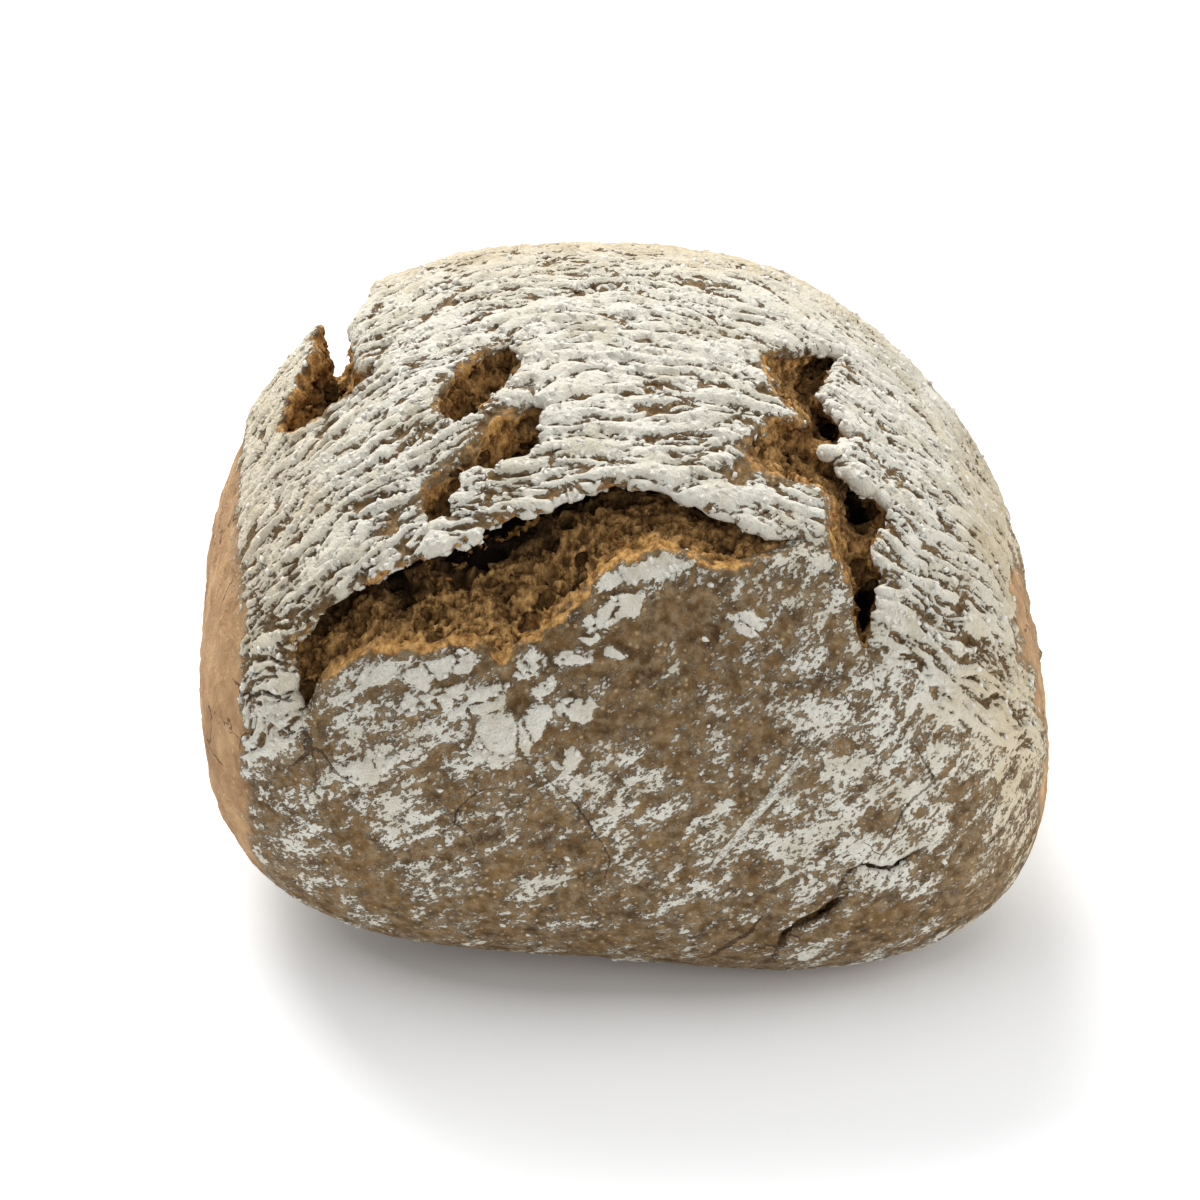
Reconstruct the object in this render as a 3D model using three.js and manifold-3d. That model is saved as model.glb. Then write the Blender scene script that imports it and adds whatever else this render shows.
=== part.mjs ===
// A rustic bread roll: one baked piece, squarish in plan, with a domed top that tore open in several splits.
// Millimetres, +Z up. The roll stands on its flat base at z = 0, its front faces -Y, and the origin is under
// the middle of its box.

import * as THREE from "three";
import { mergeVertices } from "three/addons/utils/BufferGeometryUtils.js";
import Module from "manifold-3d";

// ---------- Driving dimensions ----------

const HALF_WIDTH = 49;
const FRONT_DEPTH = 44;
const BACK_DEPTH = 43.5;
const CROWN_HEIGHT = 40; // from the widest level up to the crown
const BELLY_DEPTH = 29; // from the widest level down, before the base is cut flat
const WIDEST_LEVEL = 23.6; // height of the widest level above the base

const PLAN_SQUARENESS = 3.2; // 2 is an ellipse, and more is squarer
const CROWN_SQUARENESS = 2.45;
const BELLY_SQUARENESS = 2.5;

const FRONT_WIDENING = 0.1; // share by which the width grows at the front
const BACK_NARROWING = 0.26; // share by which it shrinks at the back
const CROWN_NARROWING = 0.06; // share by which it shrinks at the crown
const BACKWARD_LEAN = 0.045; // how far the crown leans back for each unit of height

// Broad swellings and dents that the dough kept from its shaping.
const SWELLINGS = [
  { azimuth: -147, elevation: -22, spread: 30, height: -2.5 },
  { azimuth: -100, elevation: -45, spread: 35, height: -1.8 },
  { azimuth: -45, elevation: -30, spread: 30, height: 1.9 },
  { azimuth: 165, elevation: 40, spread: 28, height: 1.0 },
  { azimuth: 20, elevation: 36, spread: 28, height: -3.3 },
  { azimuth: 90, elevation: 40, spread: 30, height: 0.7 },
  { azimuth: 60, elevation: -5, spread: 20, height: -0.9 },
  { azimuth: 125, elevation: 5, spread: 22, height: 0.8 },
  { azimuth: -160, elevation: 62, spread: 12, height: 1.4 },
];

const SKIN_DETAIL = 14; // subdivisions of the icosahedron that the skin is drawn on
const LIP_STEPS = 22; // steps along each lip of a split
const CUT_CLEARANCE = 6; // how far a cutter stands out of the skin
const TIP_BLUNTNESS = 0.5; // how fast a split gets shallower towards its tips: 1 is a sine, and less is blunter
const LOWEST_LIFT = -20; // the skin is looked for between these distances off a split's plane
const HIGHEST_LIFT = 90;
const HALVINGS = 30;
const BASE_CUT = 60; // half the width and the depth of the block that cuts the base flat

// A split tore open along two lips that meet at both tips. Its lips are drawn on a plane tilted back until its
// normal rises by "tilt" degrees: a point is [along X, up the plane], and the near lip lies on the right as one
// goes along it. "depth" is how far the bottom is below the skin, and "deepest" how far it lies from the near lip
// to the far one, as a share.
const FRONT_SLOPE = 37;
const FROM_ABOVE = 90;

const SPLITS = [
  {
    name: "main split",
    tilt: FRONT_SLOPE,
    depth: 9,
    deepest: 0.74,
    near: [
      [-34.5, 9], [-31, 14.5], [-27, 17.5], [-21, 17], [-17.5, 18], [-12.5, 16], [-8.5, 19],
      [-3.5, 23], [-1.5, 26], [4.5, 28.5], [10, 26.5], [14, 27.5], [21, 29],
    ],
    far: [
      [-34.5, 9], [-36, 13.5], [-35, 18], [-32, 21.5], [-24, 26], [-15.5, 29.5], [-13, 31.5],
      [-6, 34], [3, 35], [8.5, 32.5], [14, 30.5], [21, 29],
    ],
  },
  {
    name: "right split",
    tilt: FRONT_SLOPE,
    depth: 8,
    deepest: 0.6,
    near: [
      [22, 51.5], [17, 50], [17.5, 45.5], [19, 42.5], [15, 41.5], [13.5, 39.5], [16, 37],
      [21, 35], [23.5, 32.5], [23.5, 28], [25.5, 24], [25.5, 18.5], [28, 14.5],
    ],
    far: [
      [22, 51.5], [26.5, 50.5], [24.5, 46], [25.5, 42], [26, 40], [23.5, 38.5], [25.5, 36.5],
      [30, 33], [30, 31], [28, 28], [29, 24.5], [27.5, 18], [28, 14.5],
    ],
  },
  {
    name: "left shoulder split",
    tilt: FROM_ABOVE,
    depth: 6.5,
    deepest: 0.45,
    near: [[-31.5, 35.5], [-34.8, 29], [-34.6, 15], [-36, 7], [-37, 1], [-36, -2], [-33, -3], [-27, -0.5]],
    far: [[-31.5, 35.5], [-28.6, 29], [-29.5, 16], [-29.8, 8], [-29.3, 4], [-28, 2], [-27, -0.5]],
  },
  {
    name: "top split",
    tilt: FROM_ABOVE,
    depth: 4.5,
    deepest: 0.45,
    near: [[-12, 1.5], [-17.5, -4.5], [-20, -8.5], [-19.5, -11.5], [-17.5, -13.5]],
    far: [[-12, 1.5], [-10, -3.5], [-11, -8], [-15.5, -11.5], [-17.5, -13.5]],
  },
  {
    name: "crown split",
    tilt: FROM_ABOVE,
    depth: 7,
    deepest: 0.55,
    near: [[-9.5, -8.5], [-12, -13], [-15, -15.5], [-18.5, -18.5], [-21.5, -20.5], [-20.5, -24.5]],
    far: [[-9.5, -8.5], [-7.5, -11.5], [-8, -17], [-14, -19.5], [-17.5, -22.5], [-20.5, -24.5]],
  },
  {
    name: "upper foot crack",
    tilt: FRONT_SLOPE,
    depth: 2.5,
    deepest: 0.5,
    near: [[23.8, -8.5], [26.5, -6.5], [29, -7.4], [33.5, -3.5]],
    far: [[23.8, -8.5], [26.5, -5.2], [29, -6], [33.5, -3.5]],
  },
  {
    name: "lower foot crack",
    tilt: FRONT_SLOPE,
    depth: 2.5,
    deepest: 0.5,
    near: [[18, -15.5], [20.5, -13.4], [23, -11.6], [25.5, -8.5]],
    far: [[18, -15.5], [20, -11.8], [22.8, -9.9], [25.5, -8.5]],
  },
];

const CRUST = new THREE.MeshStandardMaterial({ color: 0xa9825a, roughness: 0.9, metalness: 0 });

// ---------- The skin ----------

const radians = THREE.MathUtils.degToRad;

function direction(azimuth, elevation) {
  const level = Math.cos(radians(elevation));
  return new THREE.Vector3(
    level * Math.cos(radians(azimuth)),
    level * Math.sin(radians(azimuth)),
    Math.sin(radians(elevation)),
  );
}

const swellings = SWELLINGS.map(({ azimuth, elevation, spread, height }) => ({
  towards: direction(azimuth, elevation),
  width: 1 - Math.cos(radians(spread)),
  height,
}));

// Distance from the middle of the widest level to the skin in a direction, before the roll is warped.
function skinRadius(way) {
  const depth = way.y < 0 ? FRONT_DEPTH : BACK_DEPTH;
  const height = way.z > 0 ? CROWN_HEIGHT : BELLY_DEPTH;
  const rise = way.z > 0 ? CROWN_SQUARENESS : BELLY_SQUARENESS;
  const plan =
    Math.abs(way.x / HALF_WIDTH) ** PLAN_SQUARENESS + Math.abs(way.y / depth) ** PLAN_SQUARENESS;
  const whole = plan ** (rise / PLAN_SQUARENESS) + Math.abs(way.z / height) ** rise;
  const swell = swellings.reduce(
    (sum, s) => sum + s.height * Math.exp((way.dot(s.towards) - 1) / s.width),
    0,
  );
  return whole ** (-1 / rise) + swell;
}

function widthShare(y, z) {
  const outward = y < 0 ? y / FRONT_DEPTH : y / BACK_DEPTH;
  const change = y < 0 ? FRONT_WIDENING : -BACK_NARROWING;
  const up = THREE.MathUtils.clamp(z / CROWN_HEIGHT, -1, 1);
  return (1 + change * outward ** 2) * (1 - CROWN_NARROWING * up);
}

function warp(p) {
  return new THREE.Vector3(
    p.x * widthShare(p.y, p.z),
    p.y + BACKWARD_LEAN * p.z,
    p.z + WIDEST_LEVEL,
  );
}

// Depth of a point below the skin, along the line to the middle of the widest level.
function depthBelowSkin(p) {
  const z = p.z - WIDEST_LEVEL;
  const y = p.y - BACKWARD_LEAN * z;
  const plain = new THREE.Vector3(p.x / widthShare(y, z), y, z);
  const reach = plain.length();
  return skinRadius(plain.divideScalar(reach)) - reach;
}

function skinGeometry() {
  const sphere = new THREE.IcosahedronGeometry(1, SKIN_DETAIL);
  const position = sphere.getAttribute("position");
  for (let i = 0; i < position.count; i++) {
    const way = new THREE.Vector3().fromBufferAttribute(position, i).normalize();
    const at = warp(way.clone().multiplyScalar(skinRadius(way)));
    position.setXYZ(i, at.x, at.y, at.z);
  }
  return sphere;
}

// ---------- The splits ----------

// A place on the tilted plane, lifted off it along its normal.
function fromPlane(tilt, along, up, lift) {
  const sine = Math.sin(radians(tilt));
  const cosine = Math.cos(radians(tilt));
  return new THREE.Vector3(along, up * sine - lift * cosine, up * cosine + lift * sine);
}

// How far the skin stands off the tilted plane at a place, found by halving.
function skinLift(tilt, along, up) {
  let inside = LOWEST_LIFT;
  let outside = HIGHEST_LIFT;
  for (let i = 0; i < HALVINGS; i++) {
    const middle = (inside + outside) / 2;
    if (depthBelowSkin(fromPlane(tilt, along, up, middle)) > 0) inside = middle;
    else outside = middle;
  }
  return inside;
}

function lip(points) {
  const curve = new THREE.SplineCurve(points.map(([along, up]) => new THREE.Vector2(along, up)));
  return curve.getSpacedPoints(LIP_STEPS);
}

// The rings of a cutter, from above the skin down to the bottom of the split: how far each lip has closed in on the
// bottom line, and how deep the ring lies as a share of the split's depth.
const RINGS = [
  { closed: 0, clear: CUT_CLEARANCE, deep: 0 },
  { closed: 0, clear: 0, deep: 0 },
  { closed: 0.3, clear: 0, deep: 0.55 },
  { closed: 0.75, clear: 0, deep: 1 },
];

function splitCutter({ tilt, depth, deepest, ...lips }) {
  const near = lip(lips.near);
  const far = lip(lips.far);
  const positions = [];
  for (const { closed, clear, deep } of RINGS) {
    for (const side of [near, far]) {
      for (let i = 0; i <= LIP_STEPS; i++) {
        const bottom = near[i].clone().lerp(far[i], deepest);
        const at = side[i].clone().lerp(bottom, closed);
        const taper = Math.sin((Math.PI * i) / LIP_STEPS) ** TIP_BLUNTNESS;
        const lift = skinLift(tilt, at.x, at.y) + clear - deep * depth * taper;
        positions.push(...fromPlane(tilt, at.x, at.y, lift).toArray());
      }
    }
  }
  const row = LIP_STEPS + 1;
  const point = (ring, side, i) => (ring * 2 + side) * row + i;
  const faces = [];
  const quad = (a, b, c, d) => faces.push(a, b, c, a, c, d);
  const last = RINGS.length - 1;
  for (let i = 0; i < LIP_STEPS; i++) {
    quad(point(0, 0, i), point(0, 0, i + 1), point(0, 1, i + 1), point(0, 1, i));
    quad(point(last, 1, i), point(last, 1, i + 1), point(last, 0, i + 1), point(last, 0, i));
    for (let ring = 0; ring < last; ring++) {
      quad(point(ring, 0, i + 1), point(ring, 0, i), point(ring + 1, 0, i), point(ring + 1, 0, i + 1));
      quad(point(ring, 1, i), point(ring, 1, i + 1), point(ring + 1, 1, i + 1), point(ring + 1, 1, i));
    }
  }
  const geometry = new THREE.BufferGeometry();
  geometry.setAttribute("position", new THREE.Float32BufferAttribute(positions, 3));
  geometry.setIndex(faces);
  return geometry;
}

// ---------- Cutting and joining ----------

const wasm = await Module();
wasm.setup();

const WELD = 1e-3;

function solidOf(geometry) {
  geometry.deleteAttribute("normal");
  geometry.deleteAttribute("uv");
  const merged = mergeVertices(geometry, WELD);
  return new wasm.Manifold(
    new wasm.Mesh({
      numProp: 3,
      vertProperties: merged.getAttribute("position").array,
      triVerts: withoutSlivers(merged.index.array),
    }),
  );
}

// Faces whose corners were merged into one another at a split's tips are dropped.
function withoutSlivers(index) {
  const kept = [];
  for (let i = 0; i < index.length; i += 3) {
    const [a, b, c] = index.slice(i, i + 3);
    if (a !== b && b !== c && c !== a) kept.push(a, b, c);
  }
  return new Uint32Array(kept);
}

function geometryOf(solid) {
  const { vertProperties, triVerts } = solid.getMesh();
  const geometry = new THREE.BufferGeometry();
  geometry.setAttribute("position", new THREE.BufferAttribute(vertProperties, 3));
  geometry.setIndex(new THREE.BufferAttribute(triVerts, 1));
  geometry.computeVertexNormals();
  return geometry;
}

function bakedRoll() {
  const block = new THREE.BoxGeometry(2 * BASE_CUT, 2 * BASE_CUT, BASE_CUT);
  block.translate(0, 0, -BASE_CUT / 2);
  let roll = solidOf(skinGeometry()).subtract(solidOf(block));
  for (const split of SPLITS) roll = roll.subtract(solidOf(splitCutter(split)));
  return geometryOf(roll);
}

// ---------- The roll ----------

const breadRoll = new THREE.Mesh(bakedRoll(), CRUST);
breadRoll.name = "bread_roll";

// The origin lies under the middle of the roll's box.
const box = new THREE.Box3().setFromObject(breadRoll);
const middle = box.getCenter(new THREE.Vector3());
breadRoll.position.set(-middle.x, -middle.y, 0);

const breadRollPart = new THREE.Group();
breadRollPart.add(breadRoll);

export default breadRollPart;
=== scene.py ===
# %% [markdown]
# # A rustic bread roll
# A roll like this is one piece of dough. It was shaped by hand, rolled in flour, and baked seam side up,
# so that the top tore open. What makes it look like bread is the contrast of three surfaces: the caked
# flour, the brown crust under it, and the porous crumb in the tears. The CAD model gives the size and
# place, and this file gives the looks.

# %% Load the frame
import math

import bpy
import numpy as np
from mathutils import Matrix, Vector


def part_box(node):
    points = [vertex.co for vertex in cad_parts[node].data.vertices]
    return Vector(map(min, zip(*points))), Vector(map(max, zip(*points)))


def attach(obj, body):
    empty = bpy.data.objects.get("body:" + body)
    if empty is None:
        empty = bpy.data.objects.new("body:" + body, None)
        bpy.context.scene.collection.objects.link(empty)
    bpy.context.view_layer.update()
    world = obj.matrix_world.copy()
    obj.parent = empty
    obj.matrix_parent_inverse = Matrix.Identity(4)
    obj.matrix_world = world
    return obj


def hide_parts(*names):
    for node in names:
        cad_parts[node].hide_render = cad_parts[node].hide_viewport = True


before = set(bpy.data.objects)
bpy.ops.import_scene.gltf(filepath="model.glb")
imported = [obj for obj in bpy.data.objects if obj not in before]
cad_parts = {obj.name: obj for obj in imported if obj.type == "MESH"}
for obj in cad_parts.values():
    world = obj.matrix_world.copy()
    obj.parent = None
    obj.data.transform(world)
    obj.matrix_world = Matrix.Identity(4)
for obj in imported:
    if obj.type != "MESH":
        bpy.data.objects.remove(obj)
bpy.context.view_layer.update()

import openvdb
from mathutils import Matrix, Vector

MM = 0.001

# %% [markdown]
# ## Camera and light
# The camera looks down on the front of the roll by 37 degrees through a long lens. The key light is a
# large soft panel above the roll, behind it and to its left, so that the flour ridges catch light on
# their far sides and a soft shadow falls forwards and to the right. Two weak panels, in front and to the
# right, keep the brown front and sides readable.

# %% Camera
VIEW_TILT = math.radians(37)
VIEW_DISTANCE = 550 * MM
VIEW_TARGET = Vector((-2.45, 0.24, 28.1)) * MM
FRAME_WIDTH = 140.7 * MM
SENSOR = 36.0

camera_data = bpy.data.cameras.new("camera")
camera_data.sensor_width = SENSOR
camera_data.lens = SENSOR * VIEW_DISTANCE / FRAME_WIDTH
camera = bpy.data.objects.new("camera", camera_data)
camera.location = VIEW_TARGET + VIEW_DISTANCE * Vector((0, -math.cos(VIEW_TILT), math.sin(VIEW_TILT)))
camera.rotation_euler = (math.pi / 2 - VIEW_TILT, 0, 0)
bpy.context.scene.collection.objects.link(camera)
bpy.context.scene.camera = camera
print("the lens is", round(camera_data.lens), "mm long")


# %% Light
ROOM_BRIGHTNESS = 0.38


def add_panel(name, location, size, power, colour):
    """A square soft light of a given size, in metres, that faces the roll."""
    data = bpy.data.lights.new(name, "AREA")
    data.size = size
    data.energy = power
    data.color = colour
    panel = bpy.data.objects.new(name, data)
    panel.location = location
    panel.rotation_euler = (VIEW_TARGET - Vector(location)).to_track_quat("-Z", "Y").to_euler()
    bpy.context.scene.collection.objects.link(panel)
    return panel


add_panel("key_panel", (-0.22, 0.51, 0.58), 0.50, 8.7, (1.0, 0.99, 0.97))
add_panel("front_panel", (0.15, -0.70, 0.55), 0.60, 1.8, (1.0, 0.995, 0.98))
add_panel("right_panel", (0.75, -0.10, 0.35), 0.50, 2.3, (1.0, 0.99, 0.97))

world = bpy.data.worlds.new("pale_room")
world.use_nodes = True
world.node_tree.nodes["Background"].inputs["Color"].default_value = (1, 1, 1, 1)
world.node_tree.nodes["Background"].inputs["Strength"].default_value = ROOM_BRIGHTNESS
bpy.context.scene.world = world
bpy.context.scene.view_settings.view_transform = "Standard"
print("three panels and a pale room")

# %% [markdown]
# ## The shape of the dough
# The dough is a squarish dome: a superellipse in plan and from the side, a little wider at the front than
# at the back, with a few broad swellings. A formula says how far its skin is from the middle in each
# direction, and a point's depth below that skin decides everything that follows: where the crust ends,
# where the crumb begins, and how much painted shade darkens a tear deep down. All lengths in these cells
# are in millimetres.

# %% The skin's formula
HALF_WIDTH, FRONT_DEPTH, BACK_DEPTH = 49, 44, 43.5
CROWN_HEIGHT, BELLY_DEPTH, WIDEST_LEVEL = 40, 29, 23.6
PLAN_SQUARENESS, CROWN_SQUARENESS, BELLY_SQUARENESS = 3.2, 2.45, 2.5
FRONT_WIDENING, BACK_NARROWING, CROWN_NARROWING, BACKWARD_LEAN = 0.1, 0.26, 0.06, 0.045

# azimuth and elevation in degrees, spread in degrees, height in millimetres
SWELLINGS = [
    (-147, -22, 30, -2.5),
    (-100, -45, 35, -1.8),
    (-45, -30, 30, 1.9),
    (165, 40, 28, 1.0),
    (20, 36, 28, -3.3),
    (90, 40, 30, 0.7),
    (60, -5, 20, -0.9),
    (125, 5, 22, 0.8),
    (-160, 62, 12, 1.4),
]


def skin_radius(way):
    """Distance from the middle of the widest level to the skin, along unit directions (..., 3)."""
    x, y, z = np.abs(way[..., 0]), np.abs(way[..., 1]), np.abs(way[..., 2])
    front, top = way[..., 1] < 0, way[..., 2] > 0
    rise = np.where(top, CROWN_SQUARENESS, BELLY_SQUARENESS).astype(np.float32)
    half_depth = np.where(front, FRONT_DEPTH, BACK_DEPTH)
    half_height = np.where(top, CROWN_HEIGHT, BELLY_DEPTH)
    plan = (x / HALF_WIDTH) ** PLAN_SQUARENESS + (y / half_depth) ** PLAN_SQUARENESS
    whole = plan ** (rise / PLAN_SQUARENESS) + (z / half_height) ** rise
    radius = whole ** (-1 / rise)
    for azimuth, elevation, spread, height in SWELLINGS:
        a, e = math.radians(azimuth), math.radians(elevation)
        towards = np.array([math.cos(e) * math.cos(a), math.cos(e) * math.sin(a), math.sin(e)], np.float32)
        radius += height * np.exp((way @ towards - 1) / (1 - math.cos(math.radians(spread))))
    return radius


def width_share(y, z):
    """How much wider than the plain shape the roll is at a place."""
    outward = np.where(y < 0, y / FRONT_DEPTH, y / BACK_DEPTH)
    change = np.where(y < 0, FRONT_WIDENING, -BACK_NARROWING)
    return (1 + change * outward**2) * (1 - CROWN_NARROWING * np.clip(z / CROWN_HEIGHT, -1, 1))


def depth_below_skin(points):
    """How deep points in an array (..., 3) lie below the skin: negative outside."""
    z = points[..., 2] - WIDEST_LEVEL
    y = points[..., 1] - BACKWARD_LEAN * z
    plain = np.stack([points[..., 0] / width_share(y, z), y, z], axis=-1)
    reach = np.maximum(np.linalg.norm(plain, axis=-1), 1e-3)
    return skin_radius(plain / reach[..., None]) - reach


def skin_points(steps=240, steepest=1.57):
    """Points all over the skin, to measure its box with."""
    around, upwards = np.linspace(0, 2 * np.pi, 2 * steps), np.linspace(-steepest, steepest, steps)
    azimuth, elevation = np.meshgrid(around, upwards)
    level = np.cos(elevation)
    way = np.stack([level * np.cos(azimuth), level * np.sin(azimuth), np.sin(elevation)], -1)
    plain = way * skin_radius(way)[..., None]
    x, y, z = plain[..., 0], plain[..., 1], plain[..., 2]
    return np.stack([x * width_share(y, z), y + BACKWARD_LEAN * z, z + WIDEST_LEVEL], -1).reshape(-1, 3)


skin = skin_points()
cad_low, cad_high = (np.array(corner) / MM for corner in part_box("bread_roll"))
CENTRING = ((cad_low + cad_high) / 2 - (skin.min(0) + skin.max(0)) / 2) * (1, 1, 0)
skin_size = skin.max(0) - (*skin.min(0)[:2], 0)
print("the formula's skin measures", np.round(skin_size, 1), "mm, shifted by", CENTRING)

# %% [markdown]
# ## The tears
# Gas opened the roll in several tears while the crust was already stiff. Each tear has two lips: the
# crust of the far lip was pushed up and overhangs, and the crumb slopes up from under it to the near lip.
# So a tear is drawn as two lip lines on a plane that faces the viewer, or on the level plane for the ones
# on top, and its depth is a wedge between them that leans in under the far lip. The lines here are finer
# than the CAD model's, but follow them. Each tear is a record of these values, in degrees and millimetres:
#
# - `tilt` is the slope of its plane, which goes through the middle of the base, and `above` is how far off
#   that plane its cells are at least.
# - `depth` is how deep it gets, and `deepest` is where: a share of the way from the near to the far lip.
# - `undercut` is how far it leans in under the far lip, for each millimetre of depth.
# - `rim` and `lift` are how far the near and the far lip stand up.
# - `wells` are deeper holes in it: a place on the plane, a radius and the extra depth.

# %% The tears' lips
FRONT_SLOPE = 37
FROM_ABOVE = 90

# the lips and wells are places on the tear's plane: along X, and up the plane
TEARS = {
    "main": dict(
        tilt=FRONT_SLOPE, depth=8, deepest=0.78, undercut=0.5, rim=1.0, lift=0.7,
        wells=[
            (-12.5, 28.5, 3.2, 7), (-17.8, 22.8, 1.8, 4), (-24.5, 19.3, 1.9, 5), (-21.5, 25, 2.2, 3),
            (-30.5, 18.2, 1.7, 3), (-5, 31, 2, 4), (0.8, 29, 2, 3), (3.6, 33, 2, 4), (10, 30.3, 1.8, 4),
        ],
        near=[
            (-34.5, 9), (-33, 12.5), (-30.5, 15), (-27, 17.5), (-23.5, 17.5), (-21, 17), (-18, 18),
            (-14.5, 17), (-12.5, 16), (-11, 17.5), (-8.5, 19), (-6, 21), (-3.5, 23), (-2.5, 25.5),
            (0.5, 27), (4.5, 28.5), (7.5, 27.5), (10, 26.5), (12, 26), (14, 27), (18, 28), (21.5, 29),
        ],
        far=[
            (-34.5, 9), (-35.5, 13.5), (-35.5, 17.5), (-33.5, 19.5), (-32, 21.5), (-29, 24), (-24, 26),
            (-19, 28), (-15.5, 29), (-13.5, 31), (-10, 32), (-6, 34), (-2, 35), (3.5, 35), (6, 34),
            (8.5, 32.5), (12, 31.5), (14, 30.5), (17.5, 29.5), (21.5, 29),
        ],
    ),
    "right": dict(
        tilt=FRONT_SLOPE, depth=4.5, deepest=0.65, undercut=0, rim=0.2, lift=0.3,
        wells=[
            (26.6, 21.5, 2.6, 10), (26.5, 32, 1.8, 5), (25, 37.5, 1.6, 4), (25.5, 49.8, 1.2, 3),
            (24, 42, 1.6, 3),
        ],
        near=[
            (21.5, 51.5), (18.5, 50.5), (16.5, 49.5), (17.5, 45.5), (19, 44), (20.5, 42), (17.5, 42.5),
            (15, 41), (13.5, 39.5), (15, 37.5), (17.5, 36), (20, 35.5), (22, 35), (23.5, 33),
            (23, 30.5), (23.5, 28), (25.5, 24), (25.5, 21), (25.5, 18.5), (27.5, 16.5), (28, 14),
        ],
        far=[
            (21.5, 51.5), (24, 51), (27, 50.5), (24.5, 48.5), (23.5, 45.5), (25, 42.5), (26.5, 40),
            (24, 39.5), (22, 39.5), (25.5, 36.5), (27, 35), (30, 33), (30, 31), (28, 28.5), (29, 24.5),
            (28, 20.5), (27, 18), (28.2, 16), (28, 14),
        ],
    ),
    "left_shoulder": dict(
        above=32, tilt=FROM_ABOVE, depth=6, deepest=0.45, undercut=0, rim=1.2, lift=0.6,
        wells=[(-33, 30, 4.5, 5), (-32, 21, 4, 3), (-36, 0, 1.8, 3)],
        near=[
            (-31.5, 36), (-34.8, 33), (-36, 28.5), (-34.7, 23), (-35, 17), (-34.3, 12), (-36.5, 7),
            (-38, 1.5), (-37.5, -2), (-34, -3.2), (-29.5, -1.5), (-25, 0.8),
        ],
        far=[
            (-31.5, 36), (-29.2, 33.5), (-27.6, 29), (-28.8, 23.5), (-28.4, 18), (-30.3, 12),
            (-29.5, 8), (-29.2, 4), (-27.5, 2), (-25, 0.8),
        ],
    ),
    "top": dict(
        tilt=FROM_ABOVE, depth=4, deepest=0.4, undercut=0, rim=0.2, lift=0.2,
        wells=[(-17, -11, 2.2, 6)],
        near=[(-12, 1.5), (-15, -1), (-18, -4.5), (-20, -8.5), (-20, -11), (-17.5, -13.5)],
        far=[(-12, 1.5), (-10, -2.5), (-11, -6.5), (-12.5, -9), (-16, -11.5), (-17.5, -13.5)],
    ),
    "crown": dict(
        tilt=FROM_ABOVE, depth=5, deepest=0.6, undercut=0, rim=0.2, lift=0.3,
        wells=[(-10.5, -14, 3.2, 9), (-20, -21, 2, 3)],
        near=[
            (-9.5, -8.5), (-12, -12), (-14, -14), (-15.5, -16), (-18.5, -18), (-21, -19.5),
            (-21.5, -22.5), (-20.5, -25),
        ],
        far=[
            (-9.5, -8.5), (-7.5, -11), (-8.5, -13.5), (-8, -17), (-11.5, -18.5), (-14, -19.5),
            (-17, -20), (-17.5, -22), (-18, -24), (-20.5, -25),
        ],
    ),
    "upper_foot_crack": dict(
        tilt=FRONT_SLOPE, depth=1.8, deepest=0.5, undercut=0, rim=0.2, lift=0.3, wells=[],
        near=[(24, -9.2), (25.2, -7.7), (26.9, -6.9), (29, -7.5), (30.6, -7.3), (32.3, -6), (34.4, -4.4)],
        far=[(24, -9.2), (25, -7), (27, -6.1), (29, -6.6), (30.2, -6.5), (31.9, -5.3), (34.4, -4.4)],
    ),
    "lower_foot_crack": dict(
        tilt=FRONT_SLOPE, depth=1.8, deepest=0.5, undercut=0, rim=0.2, lift=0.3, wells=[],
        near=[(18, -16.8), (18.5, -15.1), (19.9, -13.9), (22.8, -12.6), (24.5, -11.1), (25.4, -9.8)],
        far=[(18, -16.8), (17.9, -14.6), (19.6, -13.1), (22.4, -11.4), (24, -10.3), (25.4, -9.8)],
    ),
}
main_length = TEARS["main"]["far"][-1][0] - TEARS["main"]["far"][0][0]
print(len(TEARS), "tears, the largest", main_length, "mm long")

# %% [markdown]
# ## Depth maps of the tears
# Each tear's depth is worked out once on a fine flat grid over its own plane, and then looked up for
# points in space. On the grid, inside the outline, the share of the way from the near lip to the far lip
# says where in the wedge a place is. Outside the outline the value falls below zero, so the edge itself
# stays sharp.

# %% Depth maps
MAP_STEP = 0.25
MAP_MARGIN = 5
OUTSIDE_SLOPE = 2.5
WEDGE_ROUNDNESS = 0.8
NARROW_SHARE = 1.1


def distance_to_line(places, line):
    """Least distance from places (n, 2) to a line of points."""
    line = np.array(line, float)
    best = np.full(len(places), 1e9)
    for a, b in zip(line[:-1], line[1:]):
        along = b - a
        share = np.clip((places - a) @ along / (along @ along), 0, 1)
        best = np.minimum(best, np.linalg.norm(places - a - share[:, None] * along, axis=1))
    return best


def inside_outline(places, outline):
    """Whether places (n, 2) are inside a closed outline, by counting the edges to one side of each."""
    inside = np.zeros(len(places), bool)
    outline = np.array(outline, float)
    for (ax, ay), (bx, by) in zip(outline, np.roll(outline, -1, axis=0)):
        crosses = (ay > places[:, 1]) != (by > places[:, 1])
        at = ax + (places[:, 1] - ay) * (bx - ax) / np.where(by == ay, 1e-9, by - ay)
        inside ^= crosses & (places[:, 0] < at)
    return inside


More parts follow.
